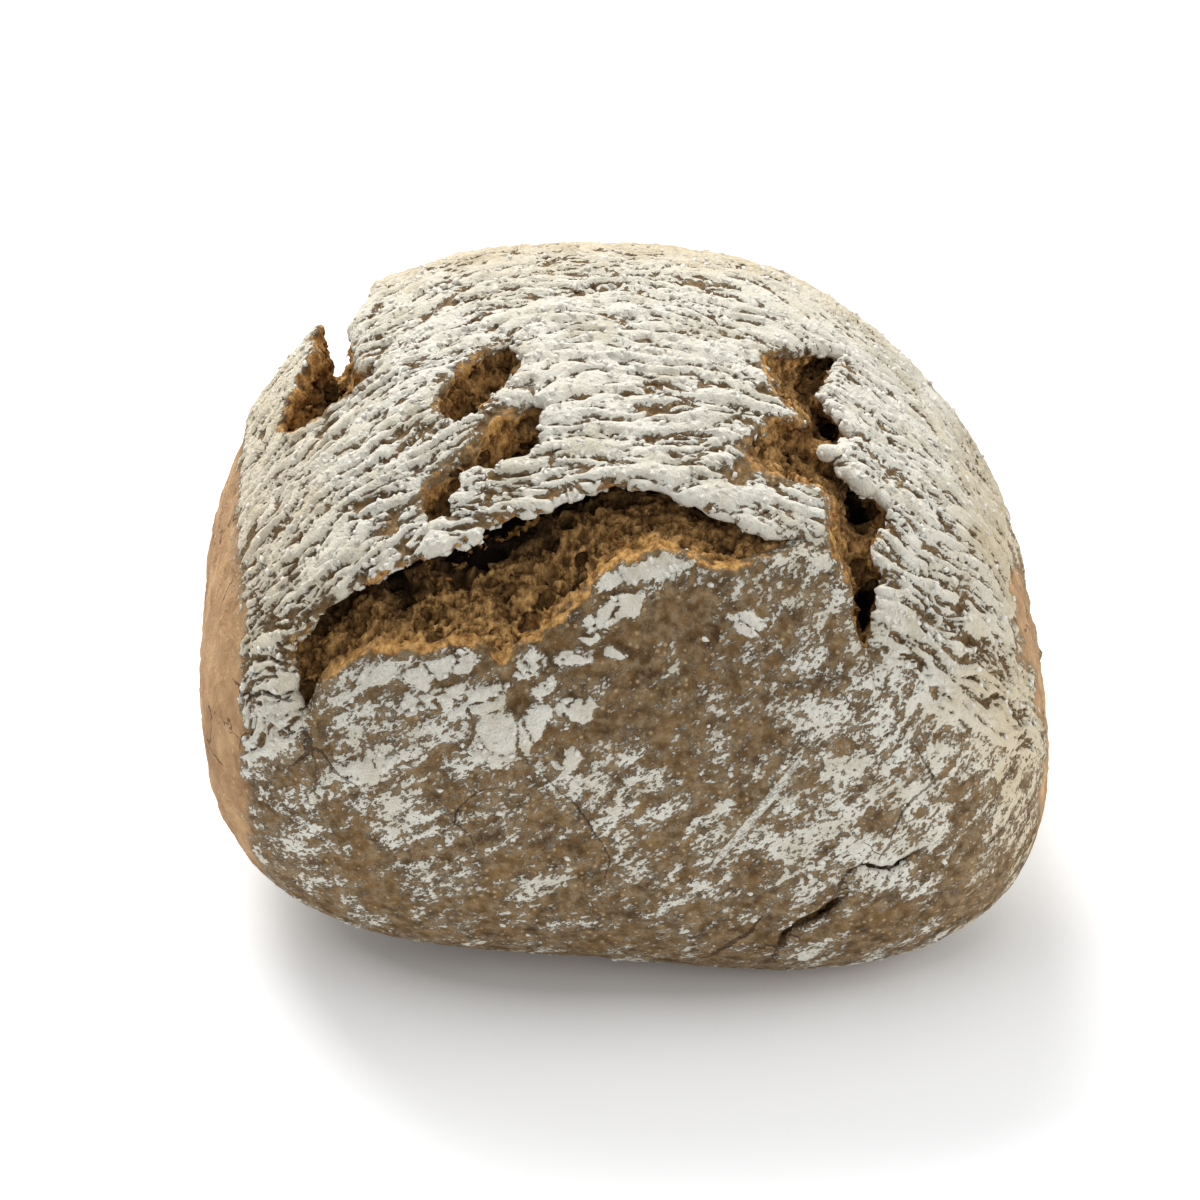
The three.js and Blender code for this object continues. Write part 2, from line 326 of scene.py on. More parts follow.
def map_tear(tear):
    """Adds to a tear its flat maps: its depth, and the distance from its near and its far lip."""
    near, far = tear["near"], tear["far"]
    corners = np.array(near + far, float)
    low, high = corners.min(0) - MAP_MARGIN, corners.max(0) + MAP_MARGIN
    columns, rows = np.ceil((high - low) / MAP_STEP).astype(int) + 1
    ticks = [start + MAP_STEP * np.arange(count) for start, count in zip(low, (columns, rows))]
    s, t = np.meshgrid(*ticks, indexing="ij")
    places = np.stack([s.ravel(), t.ravel()], 1)
    to_near, to_far = distance_to_line(places, near), distance_to_line(places, far)
    inside = inside_outline(places, near + far[::-1])
    share = to_near / np.maximum(to_near + to_far, 1e-6)
    deepest = tear["deepest"]
    wedge = np.where(share < deepest, share / deepest, (1 - share) / (1 - deepest))
    room = np.minimum(1, (to_near + to_far) * NARROW_SHARE / tear["depth"])
    depth = tear["depth"] * room * wedge**WEDGE_ROUNDNESS
    for along, up, radius, more in tear["wells"]:
        away = ((s - along) ** 2 + (t - up) ** 2) / radius**2
        depth += more * np.minimum(1, wedge * 2) * np.exp(-away.ravel())
    outside = -OUTSIDE_SLOPE * np.minimum(to_near, to_far)
    tear["low"] = low
    tear["maps"] = np.stack([np.where(inside, depth, outside), to_near, to_far], -1)
    tear["maps"] = tear["maps"].reshape(columns, rows, 3).astype(np.float32)


def on_plane(tear, points):
    """Where points (n, 3) are on a tear's plane: along X, up the plane, and off the plane."""
    tilt = math.radians(tear["tilt"])
    up = points[:, 1] * math.sin(tilt) + points[:, 2] * math.cos(tilt)
    off = points[:, 2] * math.sin(tilt) - points[:, 1] * math.cos(tilt)
    return points[:, 0], up, off


def look_up(tear, s, t):
    """The tear's maps at places on its plane, blended between the four nearest places of the grid."""
    maps = tear["maps"]
    column = np.clip((s - tear["low"][0]) / MAP_STEP, 0, maps.shape[0] - 1.001)
    row = np.clip((t - tear["low"][1]) / MAP_STEP, 0, maps.shape[1] - 1.001)
    i, j = column.astype(int), row.astype(int)
    u, v = (column - i)[:, None], (row - j)[:, None]
    near_side = maps[i, j] * (1 - u) + maps[i + 1, j] * u
    far_side = maps[i, j + 1] * (1 - u) + maps[i + 1, j + 1] * u
    return near_side * (1 - v) + far_side * v


for tear in TEARS.values():
    map_tear(tear)
print("depth maps of", [tear["maps"].shape[:2] for tear in TEARS.values()], "places")

# %% [markdown]
# ## Noise in space
# Torn dough is irregular at every scale. This noise has a random value at each corner of a lattice of
# cells and blends smoothly between them. Cells that are longer one way give a fibrous grain.

# %% Lattice noise
TABLE_SIZE = 64
NOISE_TABLE = np.random.default_rng(7).uniform(-1, 1, TABLE_SIZE**3).astype(np.float32)


def lattice_noise(points, cell, shift=0):
    """Smooth noise between -1 and 1 at points (n, 3), with cells of the given size in millimetres."""
    place = (points / np.array(cell) + shift).astype(np.float32)
    corner = np.floor(place)
    share = place - corner
    share = share * share * (3 - 2 * share)
    corner = corner.astype(np.int32)
    rows = []
    for axis in range(3):
        stride = TABLE_SIZE ** (2 - axis)
        rows.append([(corner[:, axis] + ahead) % TABLE_SIZE * stride for ahead in (0, 1)])
    x, y, z = share.T
    planes = []
    for i in (0, 1):
        lines = []
        for j in (0, 1):
            row = rows[0][i] + rows[1][j]
            low, high = NOISE_TABLE[row + rows[2][0]], NOISE_TABLE[row + rows[2][1]]
            lines.append(low + (high - low) * z)
        planes.append(lines[0] + (lines[1] - lines[0]) * y)
    return planes[0] + (planes[1] - planes[0]) * x


def rough_noise(points, cell, octaves=3, shift=0):
    """Several layers of lattice noise, each half the size and half the strength of the one before."""
    total = np.zeros(len(points), np.float32)
    for octave in range(octaves):
        total += 0.5**octave * lattice_noise(points, np.array(cell) / 2**octave, shift + 11.3 * octave)
    return total / (2 - 0.5 ** (octaves - 1))

# %% [markdown]
# ## The dough as a grid of cells
# Overhanging lips and holes inside the crumb can't be pulled out of a plain surface, so the dough is
# first a grid of small cells that each hold their depth below the surface. The tears and then thousands
# of gas bubbles are taken out of the grid, and the surface is drawn where the depth is zero. The skin's
# formula is slow, so it is worked out on every second cell and blended between.

# %% The grid
CELL = 0.32
MARGIN = 3
BASE_ROUNDING = 2.0


def halfway_filled(field, axis):
    """A field with a blended value put in between each two along an axis."""
    field = np.moveaxis(field, axis, 0)
    filled = np.empty((2 * len(field) - 1, *field.shape[1:]), np.float32)
    filled[::2] = field
    filled[1::2] = (field[:-1] + field[1:]) / 2
    return np.ascontiguousarray(np.moveaxis(filled, 0, axis))


grid_low = np.array([*(skin.min(0)[:2] - MARGIN), -MARGIN])
coarse_counts = np.ceil((skin.max(0) + MARGIN - grid_low) / (2 * CELL)).astype(int) + 1
ticks = [low + 2 * CELL * np.arange(count) for low, count in zip(grid_low, coarse_counts)]
coarse = np.stack(np.meshgrid(*ticks, indexing="ij"), -1).astype(np.float32)
below = depth_below_skin(coarse).astype(np.float32)
for axis in range(3):
    below = halfway_filled(below, axis)
print("the grid has", below.shape, "cells")

# %% The flat base, with a rounded edge where it meets the sides
height = grid_low[2] + CELL * np.arange(below.shape[2], dtype=np.float32)
height = np.broadcast_to(height, below.shape)
blend = np.clip(0.5 + (below - height) / (2 * BASE_ROUNDING), 0, 1)
solid = below * (1 - blend) + height * blend - BASE_ROUNDING * blend * (1 - blend)
del blend

# %% Cutting the tears
EDGE_RAGGEDNESS = 0.8
CRUMB_ROUGHNESS = 1.6
FULL_DEPTH = 5
LIFT_WIDTH = 3.0
RIM_WIDTH = 1.1
LIP_THICKNESS = 2.5
DEEPEST_EXTRA = 10
OUTER_LAYER = 12


def places_of(cells):
    """Where grid cells (n, 3) are in space."""
    return grid_low + CELL * cells


def fullness(tear):
    """How much of the usual raggedness and toasting a tear gets: less when it is shallow."""
    return min(1, tear["depth"] / FULL_DEPTH)


def ragged_maps(tear, number, points, deep):
    """A tear's maps at points (n, 3), with its outline made ragged and leaning in under the far lip."""
    s, t, off = on_plane(tear, points)
    ragged = EDGE_RAGGEDNESS * fullness(tear)
    s = s + ragged * rough_noise(points, 2.2, 3, shift=number)
    t = t + ragged * rough_noise(points, 2.2, 3, shift=number + 20)
    t = t - tear["undercut"] * np.maximum(deep, 0)
    return look_up(tear, s, t).T


def cells_near(tear):
    """The grid cells that a tear or its lips may change."""
    low, high = tear["low"], tear["low"] + MAP_STEP * np.array(tear["maps"].shape[:2])
    first, last = ((edge - grid_low[0]) / CELL for edge in (low[0], high[0]))
    first, last = max(0, int(first)), int(last)
    slab = below[first:last]
    reached = (slab > -LIP_THICKNESS) & (slab < tear["depth"] + DEEPEST_EXTRA)
    cells = np.argwhere(reached) + (first, 0, 0)
    s, t, off = on_plane(tear, places_of(cells))
    near_it = (t > low[1]) & (t < high[1]) & (off > tear.get("above", OUTER_LAYER))
    cells, s, t = cells[near_it], s[near_it], t[near_it]
    return cells[look_up(tear, s, t)[:, 0] > -OUTSIDE_SLOPE * LIFT_WIDTH * 2]


def tear_open(tear, number):
    """Takes a tear out of the grid, lifts its lips, and returns the cells that its surface runs through."""
    cells = cells_near(tear)
    points, where = places_of(cells), tuple(cells.T)
    deep = below[where]
    cavity, to_near, to_far = ragged_maps(tear, number, points, deep)
    inside = np.clip(cavity / 2, 0, 1)
    cavity = cavity + inside * CRUMB_ROUGHNESS * rough_noise(points, (2.6, 2.2, 3.2), 3, shift=number + 5)

    local_width = np.clip((to_near + to_far) / 4, 0, 1)
    outside = np.clip(1 - cavity, 0, 1)
    fringe = 0.7 + 0.9 * rough_noise(points, 1.3, 2, shift=number + 9)
    lifted = tear["lift"] * np.exp(-((to_far / LIFT_WIDTH) ** 2))
    lifted += tear["rim"] * fringe * np.exp(-((to_near / RIM_WIDTH) ** 2))
    solid[where] += lifted * local_width * outside * np.exp(-((deep / LIP_THICKNESS) ** 2))
    solid[where] = np.minimum(solid[where], deep - cavity)

    surface = (np.abs(deep - cavity) < 1.0) & (deep > 1.0)
    share = to_near[surface] / np.maximum(to_near + to_far, 1e-3)[surface]
    return cells[surface], deep[surface], share


torn_surfaces = [tear_open(tear, 3 * i) for i, tear in enumerate(TEARS.values())]
print("torn surfaces cross", sum(len(cells) for cells, _, _ in torn_surfaces), "cells")

# %% [markdown]
# ## Gas bubbles in the crumb
# Crumb is a foam. Its bubbles are squashed and stretched spheres of many sizes, most of them small, and a
# tear shows them cut open, with thin webs left between them. The bubbles here are scattered with a fixed
# seed over the torn surfaces: a few large ones and many small ones, and larger close under the far lip,
# where the dough was pulled most.

# %% Bubbles
# millimetres between bubbles, and their smallest and largest radius
BUBBLE_SIZES = [(3.0, 0.8, 2.3), (1.25, 0.35, 0.8)]
BUBBLE_STRETCH = (1.25, 1.0, 0.7)
LEAST_RADIUS, LEAST_WALL = 0.3, 0.7
random = np.random.default_rng(23)


def open_bubble(centre, radius, stretch):
    """Takes one stretched sphere out of the grid."""
    reach = int(radius * 1.8 / CELL) + 2
    cell = ((centre - grid_low) / CELL).astype(int)
    low = np.maximum(cell - reach, 0)
    high = np.minimum(cell + reach + 1, solid.shape)
    block = tuple(slice(a, b) for a, b in zip(low, high))
    places = np.stack(np.meshgrid(*(np.arange(a, b) for a, b in zip(low, high)), indexing="ij"), -1)
    offset = (grid_low + CELL * places - centre).astype(np.float32) @ stretch
    distance = np.linalg.norm(offset, axis=-1)
    solid[block] = np.minimum(solid[block], distance - radius)


bubble_count = 0
for spacing, smallest, largest in BUBBLE_SIZES:
    for cells, deep, share in torn_surfaces:
        wanted = int(len(cells) * CELL**3 / 2 / spacing**2)
        chosen = random.choice(len(cells), wanted, replace=False)
        for cell, depth, along in zip(cells[chosen], deep[chosen], share[chosen]):
            pull = (0.5 + 0.5 * along) * random.random() ** 1.5
            room = max(LEAST_RADIUS, depth - LEAST_WALL)
            radius = min(smallest + (largest - smallest) * pull, room)
            turn = Vector(random.normal(size=3)).to_track_quat("Z", "Y").to_matrix()
            squash = Matrix.Diagonal(BUBBLE_STRETCH) @ turn.transposed()
            open_bubble(places_of(cell), radius, np.array(squash.transposed(), np.float32))
            bubble_count += 1
print("opened", bubble_count, "bubbles")

# %% [markdown]
# ## From cells to a mesh
# OpenVDB draws the surface through the grid where the depth is zero. Bubbles that lie whole inside the
# dough would come out as loose shells that nobody sees, so only the connected surface with the most
# points is kept.

# %% The surface
def largest_shell(points, faces):
    """The points and faces of the connected surface that has the most points."""
    label = np.arange(len(points))
    edges = np.concatenate([faces[:, [0, 1]], faces[:, [1, 2]], faces[:, [2, 3]]])
    while True:
        before = label.copy()
        least = np.minimum(label[edges[:, 0]], label[edges[:, 1]])
        np.minimum.at(label, edges[:, 0], least)
        np.minimum.at(label, edges[:, 1], least)
        label = label[label]
        if (label == before).all():
            break
    values, counts = np.unique(label, return_counts=True)
    kept = label == values[counts.argmax()]
    renumbered = np.cumsum(kept) - 1
    return points[kept], renumbered[faces[kept[faces[:, 0]]]]


def new_mesh(name, points, faces):
    """An object of a mesh from points in metres and faces of four corners."""
    mesh = bpy.data.meshes.new(name)
    mesh.vertices.add(len(points))
    mesh.vertices.foreach_set("co", points.astype(np.float32).ravel())
    mesh.loops.add(faces.size)
    mesh.loops.foreach_set("vertex_index", faces.astype(np.int32).ravel())
    mesh.polygons.add(len(faces))
    mesh.polygons.foreach_set("loop_start", np.arange(0, faces.size, faces.shape[1], dtype=np.int32))
    mesh.update(calc_edges=True)
    mesh.validate()
    made = bpy.data.objects.new(name, mesh)
    bpy.context.scene.collection.objects.link(made)
    return made


limit = 3 * CELL
level_set = openvdb.FloatGrid(limit)
level_set.copyFromArray(np.ascontiguousarray(np.clip(-solid, -limit, limit), dtype=np.float32))
shell_points, _, shell_faces = level_set.convertToPolygons(isovalue=0.0, adaptivity=0.0)
shell_points, shell_faces = largest_shell(shell_points.astype(float), shell_faces.astype(np.int64))
shell_points = grid_low + CELL * shell_points
corners = shell_points[shell_faces[:, :3]]
volume = np.einsum("ij,ij->", corners[:, 0], np.cross(corners[:, 1], corners[:, 2]))
if volume < 0:
    shell_faces = shell_faces[:, ::-1]
print("the dough's surface has", len(shell_faces), "faces, and z from", shell_points[:, 2].min().round(2))

# %% [markdown]
# ## What covers what
# Every point of the surface gets a few numbers that both the relief and the colours read later: whether
# it is torn crumb, how close it is to a toasted lip, how much flour lies there, whether the flour is caked
# thick or lies in a slab, and where a crack or the scrape runs. The flour was pressed on in one long
# stroke from front to back, so the left and right sides stayed bare.

# %% Masks on the surface
# the caked flour's lower edge, on the plane that faces the viewer
CAKED_LINE = [
    (-46, 1), (-40, 3), (-36, 7), (-30, 17), (3, 34), (21, 29), (27, 21), (32, 14), (38, 9), (46, 5),
]
LEFT_BARE, RIGHT_BARE = -43.0, 47.7
# slabs of thick flour below the main tear, on the plane that faces the viewer: centre, half length and half
# width in millimetres, and slant in degrees
SLABS = [
    (-13.3, 7.6, 3.4, 2.5, 70), (-9.2, 8.7, 2.9, 1.2, 80), (-4.8, 10.6, 2.5, 1.2, 10),
    (-8, 13, 1.4, 0.9, 0), (-14.5, 11.8, 3.0, 1.1, 15), (-20.8, 11.8, 4.0, 1.1, 15),
    (-19.5, 15.2, 4.6, 1.3, 20), (-26.2, 14.6, 2.4, 1.4, 10), (2.5, 25.6, 6.2, 1.2, 14),
    (-0.4, 21.3, 3.8, 1.2, 24), (-9.5, 16, 1.8, 1.6, 40), (-3.3, 18.8, 1.2, 0.7, 0),
    (-0.6, 17, 1.5, 0.8, -20), (-5.2, 16, 2.0, 0.6, 0), (-27.8, 4.3, 4.8, 0.9, 17),
    (-5.6, 5, 1.4, 0.9, 50), (6.6, 27.8, 3.2, 1.0, -12), (14, 20, 2.0, 1.4, -30),
    (-33, 1.5, 1.3, 1.1, 0),
]


def step(value, low, high):
    """0 below low, 1 above high, and smooth between."""
    share = np.clip((value - low) / (high - low), 0, 1)
    return share * share * (3 - 2 * share)


def spot(s, t, centre, size, slant=0):
    """A soft oval spot on the front: 1 in its middle, and 0 well outside."""
    cos, sin = math.cos(math.radians(slant)), math.sin(math.radians(slant))
    along = (s - centre[0]) * cos + (t - centre[1]) * sin
    across = (t - centre[1]) * cos - (s - centre[0]) * sin
    return np.exp(-((along / size[0]) ** 2) - (across / size[1]) ** 2)


# half width, and lines on the front, drawn on the plane that faces the viewer
CRACKS = [
    (0.16, [(32, 7), (33.5, 4.5), (34.7, 3), (33, 1.5), (31.5, 0.3), (30.6, -2.3), (29.7, -4.1)]),
    (0.12, [(-8.1, 3.4), (-5.5, 0.9), (-3.7, -1.3), (-2, -3.6), (-0.9, -6.1), (-1.4, -8.3)]),
    (0.1, [(-12.4, 2.3), (-15.3, 1.9), (-17.7, -0.1), (-17.9, -2), (-16.3, -3), (-15.8, -4.8)]),
    (0.22, [(-34.5, 9), (-34.3, 5.6), (-36.6, 4.1)]),
    (0.16, [(-34.5, 9), (-33, 6.5), (-31, 4), (-28.5, 2.2)]),
    (0.2, [(-35.5, 11.5), (-38, 12.4), (-41, 12), (-43, 14)]),
    (0.26, [(16.2, -12.5), (14.4, -14.7), (12.3, -16), (9.4, -17.7)]),
    (0.15, [(18.7, -15), (18.9, -15.8), (17.3, -17), (17.9, -18.3)]),
    (0.32, [(18, -16.8), (18.3, -14.9), (19.8, -13.5), (22.6, -12), (24.3, -10.6), (25.4, -9.8)]),
    (0.28, [(24, -9.2), (25.1, -7.4), (27, -6.5), (29, -7.2), (30.4, -7), (32.1, -5.7), (34.4, -4.4)]),
]
SCRAPE = [(0.45, [(20, 5.8), (16.5, 0.9), (9.8, -7.3)])]
NO_LINE_NEAR = 9.0
LINE_REACH = 2.5


def beside_lines(s, t, lines):
    """The signed distance beside the nearest of several lines, and that line's half width, which tapers."""
    places = np.stack([s, t], 1)
    best, side, reach = np.full(len(s), NO_LINE_NEAR), np.full(len(s), NO_LINE_NEAR), np.zeros(len(s))
    for half_width, line in lines:
        line = np.array(line, float)
        lengths = np.linalg.norm(np.diff(line, axis=0), axis=1)
        gone = 0.0
        for a, b, length in zip(line[:-1], line[1:], lengths):
            along = (b - a) / length
            run = np.clip((places - a) @ along, 0, length)
            offset = places - a - run[:, None] * along
            distance = np.linalg.norm(offset, axis=1)
            nearer = distance < best
            best[nearer] = distance[nearer]
            side[nearer] = (distance * np.sign(offset[:, 0] * along[1] - offset[:, 1] * along[0]))[nearer]
            share = (gone + run) / lengths.sum()
            reach[nearer] = half_width * np.sqrt(4 * share * (1 - share))[nearer]
            gone += length
    return side, reach * (best < LINE_REACH)


def surface_masks(points):
    """The masks at points (n, 3) of the surface, as a dictionary of arrays."""
    x, y, z = points.T
    s, t, off = on_plane(TEARS["main"], points)
    on_front = off > OUTER_LAYER
    deep = depth_below_skin(points)
    ragged = rough_noise(points, 5, 3, shift=31)
    above_base = step(z, 2.0, 4.0)

    toasted, lip, torn = (np.zeros(len(points), np.float32) for _ in range(3))
    for number, tear in enumerate(TEARS.values()):
        cavity, to_near, to_far = ragged_maps(tear, 3 * number, points, deep)
        facing = on_plane(tear, points)[2] > tear.get("above", OUTER_LAYER)
        opening = np.clip((to_near + to_far) / 5, 0, 1) * facing * fullness(tear)
        ring = np.maximum(np.exp(-((to_near / 0.8) ** 2)), 0.9 * np.exp(-((to_far / 0.7) ** 2)))
        toasted = np.maximum(toasted, ring * opening)
        lip = np.maximum(lip, np.exp(-((to_near / 0.6) ** 2)) * opening)
        torn = np.maximum(torn, step(cavity, -1.5, 0.5) * facing)
    crumb = step(deep, 0.35, 1.0) * above_base * torn
    fringe = toasted * crumb * (0.4 + 0.6 * step(-ragged, -0.1, 0.3))

    line = np.interp(s, *np.array(CAKED_LINE, float).T)
    back = step(y, 20, 40)
    caked = step(t + 3 * ragged, line - 2, line + 3) * step(z + 4 * ragged, 13, 27 + 8 * back)
    torn_edge_s, torn_edge_t = (rough_noise(points, 1.8, 3, shift=shift) for shift in (41, 43))
    slab = np.zeros(len(points), np.float32)
    for along, up, half_length, half_width, slant in SLABS:
        place = (s + 1.3 * torn_edge_s, t + 1.3 * torn_edge_t, (along, up), (half_length, half_width), slant)
        slab = np.maximum(slab, step(spot(*place), 0.2, 0.45))
    slab *= on_front
    front = 0.5 - 0.3 * spot(s, t, (4, 15), (12, 8)) + 0.2 * step(s, 11, 26) - 0.12 * step(-t, 6, 14)
    front -= 0.35 * spot(s, t, (39, -7), (6, 5)) + 0.15 * spot(s, t, (24, 26), (6, 4))
    front -= 0.3 * spot(s, t, (15.5, -15), (2.5, 2)) + 0.3 * spot(s, t, (30, -13), (7, 2.5))
    front += 0.12 * spot(s, t, (-28, 8), (8, 8))
    cover = front + (1 - front) * caked
    torn_edge = 1.2 * ragged + 1.1 * torn_edge_s
    left = LEFT_BARE + 0.06 * np.maximum(0, -y) + torn_edge
    right = RIGHT_BARE - 0.26 * np.maximum(0, z - 28) + torn_edge
    bare = np.maximum(step(-x, -left - 0.8, -left + 0.8), step(x, right - 0.8, right + 0.8))
    bare = np.maximum(bare * (1 - step(z, 42, 50)), 1 - step(z + ragged, 1.0, 4.0))

    baked_back = 0.85 * step(y + 6 * ragged, 6, 40)
    baked_left = 0.45 * step(-x + 6 * ragged, 24, 42) * step(z, 34, 48)
    baked_right = 0.6 * step(x + 6 * ragged, 33, 45)
    baked = np.maximum(np.maximum(baked_back, baked_left), baked_right)
    crack_side, crack = beside_lines(s + 0.5 * torn_edge_s, t + 0.5 * torn_edge_t, CRACKS)
    scrape_side, scrape = beside_lines(s, t, SCRAPE)
    return {
        "crumb": crumb, "toasted": toasted, "lip": lip, "cover": cover, "caked": caked, "bare": bare,
        "deep": deep, "slab": slab, "fringe": fringe, "baked": baked,
        "crack_side": crack_side, "crack": crack * on_front,
        "scrape_side": scrape_side, "scrape": scrape * on_front,
    }


def store(mesh, name, values):
    """Keeps one number for each point of a mesh."""
    layer = mesh.attributes.new(name, "FLOAT", "POINT")
    layer.data.foreach_set("value", np.ascontiguousarray(values, np.float32))


crust = new_mesh("baked_crust", (shell_points + CENTRING) * MM, shell_faces)
masks = surface_masks(shell_points)
for name, values in masks.items():
    store(crust.data, name, values)
print("masks:", {name: round(float(values.mean()), 2) for name, values in masks.items()})

# %% [markdown]
# ## Building node trees in a script
# Both the relief and the materials are node trees. One helper adds a node, sets it up and connects its
# inputs, and a few short ones on top of it keep the recipes readable.

# %% Helpers for node trees
def add(tree, kind, inputs=None, **settings):
    """Adds a node, sets it up, and connects or sets its inputs by name or number."""
    node = tree.nodes.new(kind)
    for name, value in settings.items():
        setattr(node, name, value)
    for key, value in (inputs or {}).items():
        if isinstance(value, bpy.types.NodeSocket):
            tree.links.new(value, node.inputs[key])
        else:
            node.inputs[key].default_value = value
    return node


def calculate(tree, operation, *values, clamp=False):
    """The result of a Math node."""
    inputs = dict(enumerate(values))
    return add(tree, "ShaderNodeMath", inputs, operation=operation, use_clamp=clamp).outputs[0]


def plus(tree, a, b):
    return calculate(tree, "ADD", a, b)


def minus(tree, a, b):
    return calculate(tree, "SUBTRACT", a, b)


def times(tree, a, b):
    return calculate(tree, "MULTIPLY", a, b)


def ramp(tree, value, low, high, start=0.0, end=1.0):
    """Carries a value smoothly from start to end, as it goes from low to high."""
    inputs = {"Value": value, "From Min": low, "From Max": high, "To Min": start, "To Max": end}
    return add(tree, "ShaderNodeMapRange", inputs, interpolation_type="SMOOTHSTEP").outputs[0]


def between(tree, share, low, high):
    """A number between two others."""
    return add(tree, "ShaderNodeMix", {0: share, 2: low, 3: high}).outputs[0]


def vector_math(tree, operation, *values):
    """The result of a Vector Math node."""
    return add(tree, "ShaderNodeVectorMath", dict(enumerate(values)), operation=operation).outputs[0]


def scaled(tree, vector, scale):
    """A vector made longer or shorter."""
    inputs = {"Vector": vector, "Scale": scale}
    return add(tree, "ShaderNodeVectorMath", inputs, operation="SCALE").outputs[0]


def in_millimetres(tree, place):
    """A place in metres, in millimetres."""
    return vector_math(tree, "MULTIPLY", place, (1 / MM, 1 / MM, 1 / MM))


def noise(tree, vector, size=1.0, detail=2.0, roughness=0.5, seed=0.0, output=0):
    """Noise with cells of the given size, in the units of the vector."""
    inputs = {"Vector": vector, "W": seed, "Scale": 1 / size, "Detail": detail, "Roughness": roughness}
    return add(tree, "ShaderNodeTexNoise", inputs, noise_dimensions="4D").outputs[output]


def swing(tree, vector, size, detail=2.0, roughness=0.5, seed=0.0):
    """Noise around zero."""
    return minus(tree, noise(tree, vector, size, detail, roughness, seed), 0.5)


def wander(tree, vector, size, detail, roughness, seed, reach):
    """A vector of noise around zero, at most half the reach long each way."""
    way = noise(tree, vector, size, detail, roughness, seed, output=1)
    way = vector_math(tree, "SUBTRACT", way, (0.5, 0.5, 0.5))
    return vector_math(tree, "MULTIPLY", way, (reach, reach, reach))


def turned(tree, place, axis, angle, stretch):
    """A place turned about an axis, and then squeezed, so that noise there is stretched one way."""
    inputs = {"Vector": place, "Axis": axis, "Angle": angle}
    turned_place = add(tree, "ShaderNodeVectorRotate", inputs, rotation_type="AXIS_ANGLE").outputs[0]
    return vector_math(tree, "DIVIDE", turned_place, stretch)


def edge_distance(tree, vector, scale):
    """How far a place is from the nearest edge between irregular cells."""
    inputs = {"Vector": vector, "Scale": scale}
    return add(tree, "ShaderNodeTexVoronoi", inputs, feature="DISTANCE_TO_EDGE").outputs["Distance"]


def end_tree(tree, geometry, finish):
    """Ends a Geometry Nodes tree: its geometry is made real, gets its material and goes out."""
    real = add(tree, "GeometryNodeRealizeInstances", {"Geometry": geometry}).outputs[0]
    finished = add(tree, "GeometryNodeSetMaterial", {"Geometry": real, "Material": finish}).outputs[0]
    add(tree, "NodeGroupOutput", {"Geometry": finished})


# %% [markdown]
# ## The relief of flour and crust
# Caked flour stands proud of the crust in ragged ridges, a millimetre or so apart, with the crust showing
# in the grooves. It could be painted as bump alone, but its shadows and its outline against the light
# would be missing, so a Geometry Nodes tree moves the surface itself. The ridges run from left to right
# and wrap around the roll, and arch down a little towards its sides: across them the noise changes
# quickly, and along them slowly. On the front the flour is thin, and lies in slanting streaks. In the
# tears the same tree presses pores of two sizes into the crumb.

# %% The relief tree
RIDGE_AXIS_HEIGHT, RIDGE_AXIS_RADIUS = 6.0, 46.0


